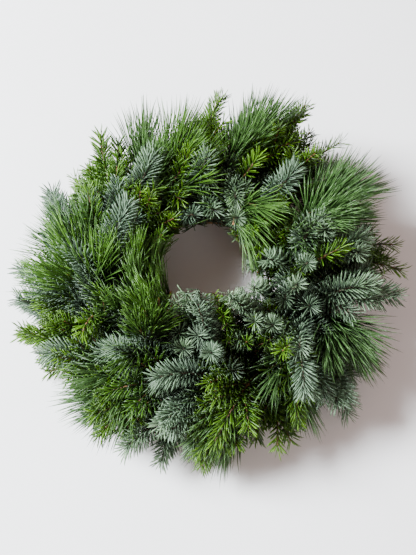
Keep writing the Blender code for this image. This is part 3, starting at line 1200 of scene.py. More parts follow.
class SprayTree(GeometryTree):
    """Geometry Nodes that grow bark, needles and buds on the lines of a bunch."""

    NEEDLE = Taper(((0, 0), (0.5, 0.76), (1, 1)), ((0, 0.6), (0.4, 1.0), (0.85, 0.85), (1, 0)))
    BUD = Taper(((0, 0), (0.5, 0.5), (1, 1)), ((0, 0.45), (0.3, 0.95), (0.5, 1.0), (0.8, 0.6), (1, 0)))
    # Corners of the sections of bark, needles and buds, and how many pieces a bud's length has.
    BARK_SIDES = 6
    NEEDLE_SIDES = 3
    BUD_SIDES = 6
    BUD_SEGMENTS = 4.0
    # The middle bud of a cluster and the two beside it: how far they lean, in radians, and their
    # size. The width of a bud is a share of its length.
    CLUSTER = ((0.0, 1.0), (0.75, 0.7), (-0.75, 0.7))
    BUD_WIDTH = 0.55
    MATERIALS = ("Needle material", "Bark", "Bud material")
    # A form with no curl at all would be an arc of endless radius.
    LEAST_CURL = 0.001
    # How fast the angle between needle and shoot closes towards the shoot's end.
    CLOSING = 1.6
    # How the size and the curl of the needles vary, and how far their bend strays.
    SIZE_VARIES = (0.82, 1.06)
    CURL_VARIES = (0.6, 1.3)
    STRAY = 0.35
    # The first and the last needles of a shoot: where they stand on its leafy length, and their
    # size as a share of a full one.
    FIRST = (-0.02, 0.18)
    FIRST_SIZE = 0.6
    LAST = (0.8, 1.0)
    LAST_SIZE = 0.85
    # How often a needle is turned until its tip is in the room. It is shorter by then, down to a
    # share of its length, as the cosine of its turn falls from the higher to the lower value.
    ROOM_PASSES = 3
    TURNED = (0.6, 0.97)
    TURNED_LENGTH = 0.45
    # How much wider the hole may be for a needle, so that its rim isn't a cut edge.
    RAGGED = 24 * MM
    # The longest needles stay that much and the inset inside the reach, and shorter ones less.
    LONGEST = 66 * MM
    INSET = 6 * MM
    # How fast the hole widens over its brim for the longest needles, which arch away from it.
    LIP = 0.5

    def __init__(self) -> None:
        """Builds the tree."""
        kinds = {"float": "Float", "int": "Int"}
        sizes = (*fields(NeedleForm), *fields(Room))
        sockets = {socket_name(size.name): kinds[size.type] for size in sizes}
        sockets |= {"Seed": "Int"} | dict.fromkeys(self.MATERIALS, "Material")
        super().__init__("Spray growth", sockets)
        self.lines = self.add("GeometryNodeMeshToCurve", {0: self.given["Geometry"]}).outputs[0]
        bark = self.sweep(self.lines, self.BARK_SIDES, self.attribute("girth"))
        bark = self.finish(bark, self.given["Bark"])
        needles = self.finish(self.needles(), self.given["Needle material"])
        buds = self.finish(self.buds(), self.given["Bud material"])
        self.end(bark, needles, buds)

    def blade(self, size: tuple, segments: Feed, sides: int, taper: Taper, curl: Feed) -> Socket:
        """One tapering form from the origin to a point on Z, which bends towards X.

        Args:
            size: Its length, width and thickness.
            segments: How many pieces its length has.
            sides: Corners of its section.
            taper: Where its rings stand, and its radius there.
            curl: How far it bends, in radians.

        Returns:
            The form.
        """
        length, width, thickness = size
        # A straight form, one unit long and two wide.
        line = self.add("GeometryNodeCurvePrimitiveLine", {"End": (0, 0, 1)}).outputs[0]
        count = self.plus(segments, 1)
        line = self.add("GeometryNodeResampleCurve", {"Curve": line, "Count": count}).outputs[0]
        share = self.add("GeometryNodeSplineParameter").outputs["Factor"]
        station = self.combine(0.0, 0.0, self.profile(share, taper.stations))
        line = self.add("GeometryNodeSetPosition", {0: line, "Position": station}).outputs[0]
        height = self.split(self.add("GeometryNodeInputPosition").outputs[0])[2]
        shape = self.sweep(line, sides, self.profile(height, taper.radii))
        # The points at a sharp tip become one.
        inputs = {"Geometry": shape, "Distance": 0.01}
        shape = self.add("GeometryNodeMergeByDistance", inputs).outputs[0]
        x, y, z = self.split(self.add("GeometryNodeInputPosition").outputs[0])
        shape = self.store(shape, "blade", self.combine(y, z, 0.0), "FLOAT_VECTOR")
        # It is bent to an arc, and turned so that the arc's chord lies along Z.
        bend = self.number("MAXIMUM", curl, self.LEAST_CURL)
        turn = self.times(bend, z)
        sine, cosine = self.number("SINE", turn), self.number("COSINE", turn)
        arm = self.number("DIVIDE", length, bend)
        half_thick = self.times(x, self.times(thickness, 0.5))
        rise = self.times(arm, self.minus(1.0, cosine))
        across = self.plus(rise, self.times(half_thick, cosine))
        wide = self.times(y, self.times(width, 0.5))
        ahead = self.minus(self.times(arm, sine), self.times(half_thick, sine))
        half = self.times(bend, 0.5)
        sine, cosine = self.number("SINE", half), self.number("COSINE", half)
        aside = self.minus(self.times(across, cosine), self.times(ahead, sine))
        along_chord = self.plus(self.times(across, sine), self.times(ahead, cosine))
        place = self.combine(aside, wide, along_chord)
        return self.add("GeometryNodeSetPosition", {0: shape, "Position": place}).outputs[0]

    def frame_at(self, tangent: Socket) -> tuple[Socket, Socket]:
        """The shoot's lateral and upward directions.

        Args:
            tangent: The direction of the shoot.

        Returns:
            Both, as unit vectors.
        """
        lateral = self.vector("CROSS_PRODUCT", tangent, self.attribute("above", "FLOAT_VECTOR"))
        lateral = self.vector("NORMALIZE", lateral)
        return lateral, self.vector("CROSS_PRODUCT", lateral, tangent)

    def keep_in_room(self, tip: Socket, ragged: Socket) -> Socket:
        """Moves a needle's tip out of the hole, over the table and inside the reach.

        Args:
            tip: The tip.
            ragged: How much wider the hole is for this needle.

        Returns:
            Where the tip may be.
        """
        x, y, z = self.split(tip)
        flat = self.across(x, y)
        brim = self.add("ShaderNodeMapRange", {
            "Value": z, "From Min": 0.0, "From Max": self.given["Brim"],
            "To Min": self.given["Hole foot"], "To Max": self.given["Hole"],
        }).outputs[0]
        share = self.number("DIVIDE", self.given["Length"], self.LONGEST)
        over = self.number("MAXIMUM", self.minus(z, self.given["Brim"]), 0.0)
        lip = self.times(over, self.times(share, self.LIP))
        brim = self.plus(brim, lip)
        edge = self.times(self.plus(ragged, self.INSET), share)
        reach = self.minus(self.given["Reach"], edge)
        kept = self.clamp(flat, self.plus(brim, ragged), reach)
        ratio = self.number("DIVIDE", kept, flat)
        z = self.clamp(z, self.given["Floor"], self.given["Ceiling"])
        return self.combine(self.times(x, ratio), self.times(y, ratio), z)

    def feet(self) -> tuple[Socket, Socket]:
        """The points that the needles stand on.

        Returns:
            The points, on the leafy part of each shoot, and the shoot's direction there.
        """
        spacing, per_ring = self.given["Spacing"], self.given["Per ring"]
        inputs = {"Curve": self.lines, "Length": spacing}
        made = self.add("GeometryNodeCurveToPoints", inputs, mode="LENGTH")
        points, tangent = made.outputs[:2]
        inputs = {0: self.attribute("leaf"), 1: 0.0}
        bare = self.add("FunctionNodeCompare", inputs, operation="LESS_THAN").outputs[0]
        inputs = {"Geometry": points, "Selection": bare}
        points = self.add("GeometryNodeDeleteGeometry", inputs).outputs[0]
        inputs = {"Geometry": points, "Amount": per_ring}
        made = self.add("GeometryNodeDuplicateElements", inputs, domain="POINT")
        points, copy = made.outputs[:2]
        step = self.times(self.minus(self.number("DIVIDE", copy, per_ring), 0.5), spacing)
        inputs = {0: points, "Offset": self.scaled(tangent, step)}
        return self.add("GeometryNodeSetPosition", inputs).outputs[0], tangent

    def free_course(self, tangent: Socket, end: Socket) -> tuple[Socket, Socket]:
        """The direction of each needle on its shoot, with nothing in its way.

        Args:
            tangent: The shoot's direction.
            end: How near to the shoot's end the needle stands, from 0 to 1.

        Returns:
            The direction, and that of the shoot's upper side.
        """
        given, index = self.given, self.add("GeometryNodeInputIndex").outputs[0]
        # Needles stand left and right in turn, at heights that fill the room between the lowest
        # and the highest evenly. At the shoot's end they stand all round it.
        phase = self.number("FRACT", self.times(index, GOLDEN))
        side = self.minus(1.0, self.times(2.0, self.number("FLOORED_MODULO", index, 2.0)))
        lowest = self.blend(end, given["Lowest"], -math.pi / 2)
        highest = self.blend(end, given["Highest"], math.pi / 2)
        height = self.blend(phase, lowest, highest)
        leaf = self.number("MAXIMUM", self.attribute("leaf"), 0.0)
        forward = self.number("POWER", leaf, self.CLOSING)
        tilt = self.blend(forward, given["Foot angle"], given["Tip angle"])
        scatter = self.times(given["Scatter"], self.chance(-1.0, 1.0, 1))
        tilt = self.plus(tilt, scatter)
        lateral, upward = self.frame_at(tangent)
        aside = self.scaled(lateral, self.times(side, self.number("COSINE", height)))
        out = self.vector("ADD", aside, self.scaled(upward, self.number("SINE", height)))
        ahead = self.scaled(tangent, self.number("COSINE", tilt))
        return self.vector("ADD", ahead, self.scaled(out, self.number("SINE", tilt))), upward

    def kept_course(self, free: Socket, length: Socket) -> tuple[Socket, Socket]:
        """Turns each needle until its tip is in the room.

        Args:
            free: Its direction with nothing in its way.
            length: Its length.

        Returns:
            The direction and the length that it may have. A needle that is turned far is shorter.
        """
        foot = self.add("GeometryNodeInputPosition").outputs[0]
        ragged = self.chance(0.0, self.RAGGED, 8)
        course = free
        for _ in range(self.ROOM_PASSES):
            tip = self.vector("ADD", foot, self.scaled(course, length))
            whole = self.vector("SUBTRACT", self.keep_in_room(tip, ragged), foot)
            course = self.vector("NORMALIZE", whole)
        length = self.add("ShaderNodeVectorMath", {0: whole}, operation="LENGTH").outputs["Value"]
        inputs = {0: free, 1: course}
        turned = self.add("ShaderNodeVectorMath", inputs, operation="DOT_PRODUCT").outputs["Value"]
        share = self.blend(self.ramp(turned, *self.TURNED), self.TURNED_LENGTH, 1.0)
        return course, self.times(length, share)

    def aligned(self, ahead: Socket, above: Socket) -> Socket:
        """The rotation that turns Z ahead and X to the upper side."""
        settings = {"primary_axis": "Z", "secondary_axis": "X"}
        return self.add("FunctionNodeAxesToRotation", {0: ahead, 1: above}, **settings).outputs[0]

    def needles(self) -> Socket:
        """All the needles.

        Returns:
            Their instances.
        """
        given, leaf = self.given, self.attribute("leaf")
        points, tangent = self.feet()
        end = self.ramp(leaf, *self.LAST)
        free, upward = self.free_course(tangent, end)
        # Needles are shorter where the foliage starts, and a little at the shoot's end.
        size = self.times(self.attribute("vigour"), self.chance(*self.SIZE_VARIES, 2))
        size = self.times(size, self.blend(self.ramp(leaf, *self.FIRST), self.FIRST_SIZE, 1.0))
        size = self.times(size, self.blend(end, 1.0, self.LAST_SIZE))
        course, length = self.kept_course(free, self.times(size, given["Length"]))
        bend = self.blend_vector(given["Droop"], upward, (0, 0, -1))
        stray = self.combine(*(self.chance(-self.STRAY, self.STRAY, k) for k in (3, 4, 5)))
        curl = self.times(size, self.chance(*self.CURL_VARIES, 6))
        long = self.number("DIVIDE", length, given["Length"])
        form = (given["Length"], given["Width"], given["Thickness"])
        inputs = {
            "Points": self.store(points, "tint", self.chance(0.0, 1.0, 7)),
            "Instance": self.blade(
                form, given["Segments"], self.NEEDLE_SIDES, self.NEEDLE, given["Curl"]
            ),
            "Rotation": self.aligned(course, self.vector("ADD", bend, stray)),
            "Scale": self.combine(curl, size, long),
        }
        return self.add("GeometryNodeInstanceOnPoints", inputs).outputs[0]

    def buds(self) -> Socket:
        """A cluster of buds at the end of each shoot that has them.

        Returns:
            Their instances.
        """
        length = self.given["Bud"]
        wide = self.times(length, self.BUD_WIDTH)
        bud = self.blade((length, wide, wide), self.BUD_SEGMENTS, self.BUD_SIDES, self.BUD, 0.0)
        cluster = self.add("GeometryNodeJoinGeometry")
        for turned, size in self.CLUSTER:
            inputs = {0: bud, "Rotation": (turned, 0, 0), "Scale": (size, size, size)}
            placed = self.add("GeometryNodeTransform", inputs).outputs[0]
            self.tree.links.new(placed, cluster.inputs[0])
        inputs = {"Start Size": 0, "End Size": 1}
        ends = self.add("GeometryNodeCurveEndpointSelection", inputs).outputs[0]
        inputs = {0: self.attribute("bud"), 1: 0.0}
        has = self.add("FunctionNodeCompare", inputs, operation="GREATER_THAN").outputs[0]
        chosen = self.add("FunctionNodeBooleanMath", {0: ends, 1: has}, operation="AND").outputs[0]
        tangent = self.add("GeometryNodeInputTangent").outputs[0]
        inputs = {
            "Points": self.lines, "Selection": chosen, "Instance": cluster.outputs[0],
            "Rotation": self.aligned(tangent, self.attribute("above", "FLOAT_VECTOR")),
            "Scale": self.attribute("bud"),
        }
        return self.add("GeometryNodeInstanceOnPoints", inputs).outputs[0]


@dataclass(frozen=True)
class SideShoots:
    """The side shoots of a twig.

    Attributes:
        starts: Where they leave it, as shares of its leafy length.
        lengths: How long each pair is, as shares of the same.
        angle: The angle at which they leave.
        hook: How far they turn back towards the twig's direction.
    """

    starts: tuple[float, ...]
    lengths: tuple[float, ...]
    angle: float
    hook: float


@dataclass(frozen=True)
class Habit:
    """How one species grows.

    Attributes:
        node: What the CAD nodes' names start with.
        piece: What the names of the bunches start with.
        slot: The record's material slot. It is not used.
        twig: The length of a twig past the wire.
        leafy: The length of it that carries needles.
        girth: The twig's radius at the wire and at its tip.
        sides: Its side shoots.
        needles: Its needles.
        buds: The size of the buds at its tips, as a share of a full one.
        companions: How many smaller twigs share its stem.
        spread: How far the companions point away from it, in degrees.
        pairs: How many pairs of side shoots its main twig has.
        skirts: How many low twigs its outer bunches have.
        skirt_vigour: The length of their needles as a share of a full one.
    """

    node: str
    piece: str
    slot: str
    twig: float
    leafy: float
    girth: tuple[float, float]
    sides: SideShoots
    needles: NeedleForm
    buds: float
    companions: int
    spread: float
    pairs: int
    skirts: int
    skirt_vigour: float


@dataclass(frozen=True)
class Seat:
    """How the sprays of a row stand on the ring.

    Attributes:
        section: The angle round the ring's section at which their stems lie.
        heading: The angle round it that they lean towards.
        lift: How far they lean out of the ring's own direction.
        length: Their length as a share of a full one.
    """

    section: float
    heading: float
    lift: float
    length: float


@dataclass
class Shoot:
    """A twig or a side shoot.

    Attributes:
        path: Its line.
        above: The direction of its upper side.
        bare: The share of it with no needles, at its foot.
        girth: Its radius at each end.
        vigour: The length of its needles as a share of a full one.
        shade: How light its needles are, from 0 to 1.
        cool: How bluish they are, from 0 to 1.
        bud: The size of its buds.
    """

    path: list[Vector]
    above: Vector
    bare: float
    girth: tuple[float, float]
    vigour: float
    shade: float
    cool: float
    bud: float

    @property
    def length(self) -> float:
        """The length of its line."""
        return sum((b - a).length for a, b in zip(self.path, self.path[1:]))

    def line(self, stem: Sequence[Vector] = (), stem_girth: float = 0.0) -> Line:
        """The shoot as a line for the tree.

        Args:
            stem: Points of the bare stem before it.
            stem_girth: The stem's radius.

        Returns:
            The line.
        """
        count = len(self.path)
        shares = [i / (count - 1) for i in range(count)]
        leaf = [(share - self.bare) / (1 - self.bare) for share in shares]
        low, high = self.girth
        girth = [low + (high - low) * share for share in shares]
        whole = count + len(stem)
        values = {
            "leaf": [-1.0] * len(stem) + leaf,
            "girth": [stem_girth] * len(stem) + girth,
            "vigour": [self.vigour] * whole,
            "shade": [self.shade] * whole,
            "cool": [self.cool] * whole,
            "bud": [self.bud] * whole,
        }
        return Line([*stem, *self.path], values, self.above)


@dataclass(frozen=True)
class Place:
    """A place over the table.

    Attributes:
        clock: Its clock angle.
        radius: How far it is from the middle, in millimetres.
        height: How high it is, in millimetres.
    """

    clock: float
    radius: float
    height: float

    @property
    def point(self) -> Vector:
        """The place as a point."""
        c, radius = math.radians(self.clock), self.radius * MM
        return Vector((radius * math.sin(c), radius * math.cos(c), self.height * MM))


def grow_piece(name: str, lines: Sequence[Line], habit: Habit, room: Room, tree: SprayTree,
               materials: dict, seed: int) -> bpy.types.Object:
    """Grows a piece of foliage on some lines.

    Args:
        name: The piece's name.
        lines: The lines of its twigs.
        habit: How its species grows.
        room: The room that it keeps to.
        tree: The tree that grows it.
        materials: The materials for the tree's inputs, by their names.
        seed: The seed of the tree's random values.

    Returns:
        The piece.
    """
    obj = lines_object(name, lines)
    values = socket_values(habit.needles) | socket_values(room) | materials
    tree.apply(obj, values | {"Seed": seed})
    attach(obj, "root")
    return obj


@dataclass
class Bunch:
    """The bunch that stands for one CAD spray.

    Attributes:
        number: Its number, which its random draws start from.
        habit: How its species grows.
        ring: Where the ring runs.
        wire: How the wire is wound.
        room: The room that it keeps to.
        turn: The turn of the wire that holds it.
        row: Its row.
        seat: How it stands on the ring.
        base: Where its main twig comes out between the others.
        tip: Where that twig ends.
        cool: How bluish its needles are, from 0 to 1.
        second: The same two places of a second full twig, where it has one.
    """

    number: int
    habit: Habit
    ring: RingFrame
    wire: WireCourse
    room: Room
    turn: int
    row: Row
    seat: Seat
    base: Place
    tip: Place
    cool: float = 0.0
    second: tuple[Place, Place] | None = None

    SEED = 2412
    # The stem: how far it reaches before the wire and past it, how far it lies from the middle of
    # the ring's section, its radius, and how far past it the twigs bend away.
    STEM_BEFORE = 9 * MM
    STEM_AFTER = 6 * MM
    STEM_SEAT = 24.85 * MM
    STEM_GIRTH = 1.9 * MM
    FIRST_BEND = 14 * MM
    # How far past its stem a bunch's main twig comes out, as a clock angle.
    HIDDEN = 10
    # How far the twigs may be turned round themselves, how far their upper sides are tipped up
    # and back along the ring, and how far they stay inside the room.
    ROLL = 14
    TIPPED = (0.5, 0.4)
    MARGIN = 5 * MM
    STEPS = 12
    LEAST_BARE = 0.08
    # The companions' spread and length as shares of the main twig's, and how many millimetres
    # they come out beside it and under it.
    COMPANION_SPREAD = (0.7, 1.2)
    COMPANION_LENGTH = (0.75, 1.15)
    COMPANION_ASIDE = (8, 14)
    COMPANION_UNDER = (10, 18)
    # How far the companions' sides are tipped back along the ring, and the length of the last
    # twig, which stays with the row, as a share of the row's own.
    COMPANION_BACK = 0.5
    LAST_LENGTH = (0.85, 1.05)
    # The low twigs: the angles at which they leave the ring's direction, the angles round its
    # section that they lean towards, their length, and how the first and the last of these vary.
    SKIRT = ((24, -12), (58, -6))
    SKIRT_LENGTH = 62 * MM
    SKIRT_TURN_VARIES = (-6, 6)
    SKIRT_LENGTH_VARIES = (0.8, 1.1)
    # Side shoots: how their start, angle, rise, length and shade vary.
    START_VARIES = (-0.04, 0.04)
    ANGLE_VARIES = (-7, 7)
    RISE_VARIES = (-0.12, 0.2)
    LENGTH_VARIES = (0.85, 1.12)
    SHADE_VARIES = (-0.15, 0.2)
    # Their radii, needles and buds as shares of their twig's.
    SIDE_GIRTH = (1.1, 0.8)
    SIDE_VIGOUR = 0.95
    SIDE_BUD = 0.85
    SIDE_MARGIN = 4 * MM
    SIDE_STEPS = 5
    SIDE_BARE = 0.1
    LAST_START = 0.95
    # How light a bunch is, and how much painted shade darkens its other twigs and its low twigs, which
    # stand under and beside the main one.
    SHADE = (0.3, 0.9)
    DARKER = (0.05, 0.35)
    PAINTED_SHADE_LOW_TWIGS = 0.2
    INNER_VIGOUR = 0.88

    def stem(self, clock: float, section: float) -> list[Vector]:
        """The stem that the wire holds.

        Args:
            clock: The clock angle at which the wire holds it.
            section: The angle round the ring's section.

        Returns:
            Its cut end, its point under the wire and the one where the twig starts.
        """
        radius = self.ring.radius + self.STEM_SEAT * math.cos(math.radians(section))
        offsets = (-self.STEM_BEFORE, 0, self.STEM_AFTER)
        clocks = (clock + math.degrees(offset / radius) for offset in offsets)
        return [self.ring.point(at, section, self.STEM_SEAT) for at in clocks]

    def away(self, point: Vector) -> Vector:
        """The direction from the middle of the ring's section to a point."""
        flat = Vector((point.x, point.y, 0)).normalized() * self.ring.radius
        return (point - Vector((flat.x, flat.y, self.ring.height))).normalized()

    def twig(self, controls: list[Vector], roll: float, vigour: float, shade: float) -> Shoot:
        """A twig from the ring to its tip.

        Args:
            controls: The control points of its line.
            roll: How far it is turned round itself, in radians.
            vigour: The length of its needles as a share of a full one.
            shade: How light it is.

        Returns:
            The twig.
        """
        free = bezier(controls, self.STEPS)
        free = [controls[0], *(self.room.keep(p, self.MARGIN, self.ring) for p in free)]
        ahead = (free[-1] - free[-2]).normalized()
        upwards, backwards = self.TIPPED
        leaning = self.away(controls[-2]) + Vector((0, 0, upwards))
        leaning -= self.ring.clockwise(self.base.clock) * backwards
        lateral = ahead.cross(leaning).normalized()
        above = lateral.cross(ahead) * math.cos(roll) + lateral * math.sin(roll)
        whole = sum((b - a).length for a, b in zip(free, free[1:]))
        bare = max(self.LEAST_BARE, 1 - self.habit.leafy / whole)
        shade = min(1, max(0, shade))
        girth, buds = self.habit.girth, self.habit.buds
        return Shoot(free, above, bare, girth, vigour, shade, self.cool, buds)

    def side_shoots(self, twig: Shoot, draw: random.Random, pairs: int) -> Iterator[Shoot]:
        """Grows pairs of side shoots on a twig.

        Args:
            twig: The twig.
            draw: Where the random numbers come from.
            pairs: How many pairs, counted from the twig's foot.

        Yields:
            Each side shoot.
        """
        form = self.habit.sides
        for start, share in list(zip(form.starts, form.lengths))[:pairs]:
            for hand in (-1, 1):
                at = twig.bare + (1 - twig.bare) * (start + draw.uniform(*self.START_VARIES))
                root, ahead = along(twig.path, min(self.LAST_START, at))
                lateral = ahead.cross(twig.above).normalized() * hand
                angle = math.radians(form.angle + draw.uniform(*self.ANGLE_VARIES))
                course = ahead * math.cos(angle) + lateral * math.sin(angle)
                course += twig.above * draw.uniform(*self.RISE_VARIES)
                length = self.habit.leafy * share * draw.uniform(*self.LENGTH_VARIES)
                half = course.normalized() * length / 2
                control = root + half
                end = control + (course + ahead * form.hook).normalized() * length / 2
                path = bezier((root, control, end), self.SIDE_STEPS)
                path = [root, *(self.room.keep(p, self.SIDE_MARGIN, self.ring) for p in path)]
                girth = tuple(twig.girth[1] * part for part in self.SIDE_GIRTH)
                shade = min(1, max(0, twig.shade + draw.uniform(*self.SHADE_VARIES)))
                vigour, bud = twig.vigour * self.SIDE_VIGOUR, twig.bud * self.SIDE_BUD
                yield Shoot(path, twig.above, self.SIDE_BARE, girth, vigour, shade, twig.cool, bud)

    def courses(self, stem: list[Vector], draw: random.Random) -> Iterator[list[Vector]]:
        """The control points of the main twig, then of the smaller ones on its stem.

        Args:
            stem: The stem.
            draw: Where the random numbers come from.

        Yields:
            The control points of each twig.
        """
        start, base, tip = stem[-1], self.base.point, self.tip.point
        ahead = (stem[-1] - stem[-2]).normalized()
        first = start + ahead * self.FIRST_BEND
        yield [start, first, base, tip]
        if self.second:
            yield [start, first, *(place.point for place in self.second)]
        away, course = self.away(base), tip - base
        leaning = away - self.ring.clockwise(self.base.clock) * self.COMPANION_BACK
        lateral = course.normalized().cross(leaning).normalized()
        for companion in range(self.habit.companions + (0 if self.row is Row.CROWN else 1)):
            hand = 1 if (companion + self.number) % 2 else -1
            angle = math.radians(self.habit.spread * draw.uniform(*self.COMPANION_SPREAD))
            aside = lateral * hand
            root = base + aside * draw.uniform(*self.COMPANION_ASIDE) * MM
            root -= away * draw.uniform(*self.COMPANION_UNDER) * MM
            way = course * math.cos(angle) + aside * course.length * math.sin(angle)
            yield [start, first, root, root + way * draw.uniform(*self.COMPANION_LENGTH)]
        seat, clock = self.seat, self.base.clock - self.HIDDEN
        lean = math.radians(seat.lift)
        course = ahead * math.cos(lean) + self.ring.outwards(clock, seat.heading) * math.sin(lean)
        length = self.habit.twig * seat.length * draw.uniform(*self.LAST_LENGTH)
        yield [start, first, first + course * (length - self.FIRST_BEND)]

    def skirt(self, stem: list[Vector], draw: random.Random) -> Iterator[list[Vector]]:
        """The control points of the low twigs that hide the ring's outer side.

        Args:
            stem: The stem.
            draw: Where the random numbers come from.

        Yields:
            The control points of each twig.
        """
        start = stem[-1]
        ahead = (stem[-1] - stem[-2]).normalized()
        first = start + ahead * self.FIRST_BEND / 2
        for turned, heading in self.SKIRT[:self.habit.skirts]:
            lean = math.radians(turned + draw.uniform(*self.SKIRT_TURN_VARIES))
            side = self.ring.outwards(self.base.clock - self.HIDDEN, heading)
            course = ahead * math.cos(lean) + side * math.sin(lean)
            course *= self.SKIRT_LENGTH
            yield [start, first, first + course * draw.uniform(*self.SKIRT_LENGTH_VARIES)]

    def grow(self) -> Iterator[Line]:
        """Grows its twigs.

        Yields:
            The lines of its twigs and side shoots.
        """
        habit, seat = self.habit, self.seat
        draw = random.Random(self.SEED * 1000 + self.number)
        roll = math.radians(draw.uniform(-1, 1) * self.ROLL)
        shade = draw.uniform(*self.SHADE)
        vigour = self.INNER_VIGOUR if self.row is Row.INNER else 1.0
        stem = self.stem(self.wire.clock(self.turn, seat.section), seat.section)
        for count, controls in enumerate(self.courses(stem, draw)):
            # Every twig after the main one is darker by painted shade.
            tone = shade - (draw.uniform(*self.DARKER) if count else 0)
            twig = self.twig(controls, roll, vigour, tone)
            yield twig.line(stem[:-1] if count == 0 else (), self.STEM_GIRTH)
            pairs = habit.pairs if count == 0 else habit.pairs + 1
            for shoot in self.side_shoots(twig, draw, pairs):
                yield shoot.line()
        if self.row is Row.OUTER:
            for controls in self.skirt(stem, draw):
                # The low twigs are darker by painted shade.
                tone = shade - self.PAINTED_SHADE_LOW_TWIGS
                yield self.twig(controls, roll, habit.skirt_vigour, tone).line()

    def build(self, name: str, tree: SprayTree, materials: dict) -> bpy.types.Object:
        """Builds the bunch as one piece.

        Args:
            name: The piece's name.
            tree: The tree that grows it.
            materials: The materials for the tree's inputs, by their names.

        Returns:
            The piece.
        """
        lines, number = list(self.grow()), self.SEED + self.number
        return grow_piece(name, lines, self.habit, self.room, tree, materials, number)


class Sprig(Bunch):
    """A single twig that is tucked in between the bunches."""

    def courses(self, stem: list[Vector], draw: random.Random) -> Iterator[list[Vector]]:
        """The control points of its one twig.

        Args:
            stem: The stem.
            draw: Where the random numbers come from. It is not used here.

        Yields:
            The control points.
        """
        start = stem[-1]
        first = start + (start - stem[-2]).normalized() * self.FIRST_BEND
        yield [start, first, self.base.point, self.tip.point]


HABITS = {
    Species.NOBLE_FIR: Habit(
        node="noble_fir_spray", piece="noble_fir", slot="noble_fir",
        twig=90 * MM, leafy=68 * MM, girth=(1.6 * MM, 1.1 * MM),
        sides=SideShoots((0.12, 0.36), (0.55, 0.42), 44, 0.35),
        needles=NeedleForm(
            length=21 * MM, width=2.1 * MM, thickness=1.1 * MM, segments=2, spacing=3.1 * MM,
            per_ring=8, foot_angle=74 * DEG, tip_angle=40 * DEG, scatter=2 * DEG,
            lowest=-35 * DEG, highest=106 * DEG, curl=20 * DEG, droop=0.0, bud=3.0 * MM,
        ),
        buds=0.3, companions=1, spread=32, pairs=0, skirts=2, skirt_vigour=0.85,
    ),
    Species.GREEN_FIR: Habit(
        node="green_fir_spray", piece="green_fir", slot="green_fir",
        twig=94 * MM, leafy=76 * MM, girth=(1.4 * MM, 0.8 * MM),
        sides=SideShoots((0.1, 0.3, 0.52), (0.5, 0.44, 0.34), 44, 0.3),
        needles=NeedleForm(
            length=18 * MM, width=2.3 * MM, thickness=0.9 * MM, segments=2, spacing=3.4 * MM,
            per_ring=5, foot_angle=62 * DEG, tip_angle=38 * DEG, scatter=7 * DEG,
            lowest=-25 * DEG, highest=80 * DEG, curl=16 * DEG, droop=0.0, bud=2.8 * MM,
        ),
        buds=0.5, companions=2, spread=34, pairs=2, skirts=2, skirt_vigour=0.9,
    ),
    Species.PINE: Habit(
        node="pine_spray", piece="pine", slot="pine",
        twig=42 * MM, leafy=46 * MM, girth=(1.9 * MM, 1.3 * MM),
        sides=SideShoots((0.1,), (0.75,), 34, 0.3),
        needles=NeedleForm(
            length=66 * MM, width=1.5 * MM, thickness=1.1 * MM, segments=2, spacing=2.4 * MM,
            per_ring=4, foot_angle=30 * DEG, tip_angle=6 * DEG, scatter=5 * DEG,
            lowest=-90 * DEG, highest=90 * DEG, curl=14 * DEG, droop=0.5, bud=4 * MM,
        ),
        buds=0.8, companions=1, spread=24, pairs=1, skirts=1, skirt_vigour=0.6,
    ),
}

# Each row has two kinds of seats, which take turns.
SEATS = {
    Row.OUTER: (Seat(0, 2, 52, 1.0), Seat(30, 24, 48, 1.05)),
    Row.CROWN: (Seat(60, 50, 38, 1.0), Seat(90, 95, 42, 1.0)),
    Row.INNER: (Seat(120, 118, 55, 0.84), Seat(150, 138, 62, 0.76)),
}

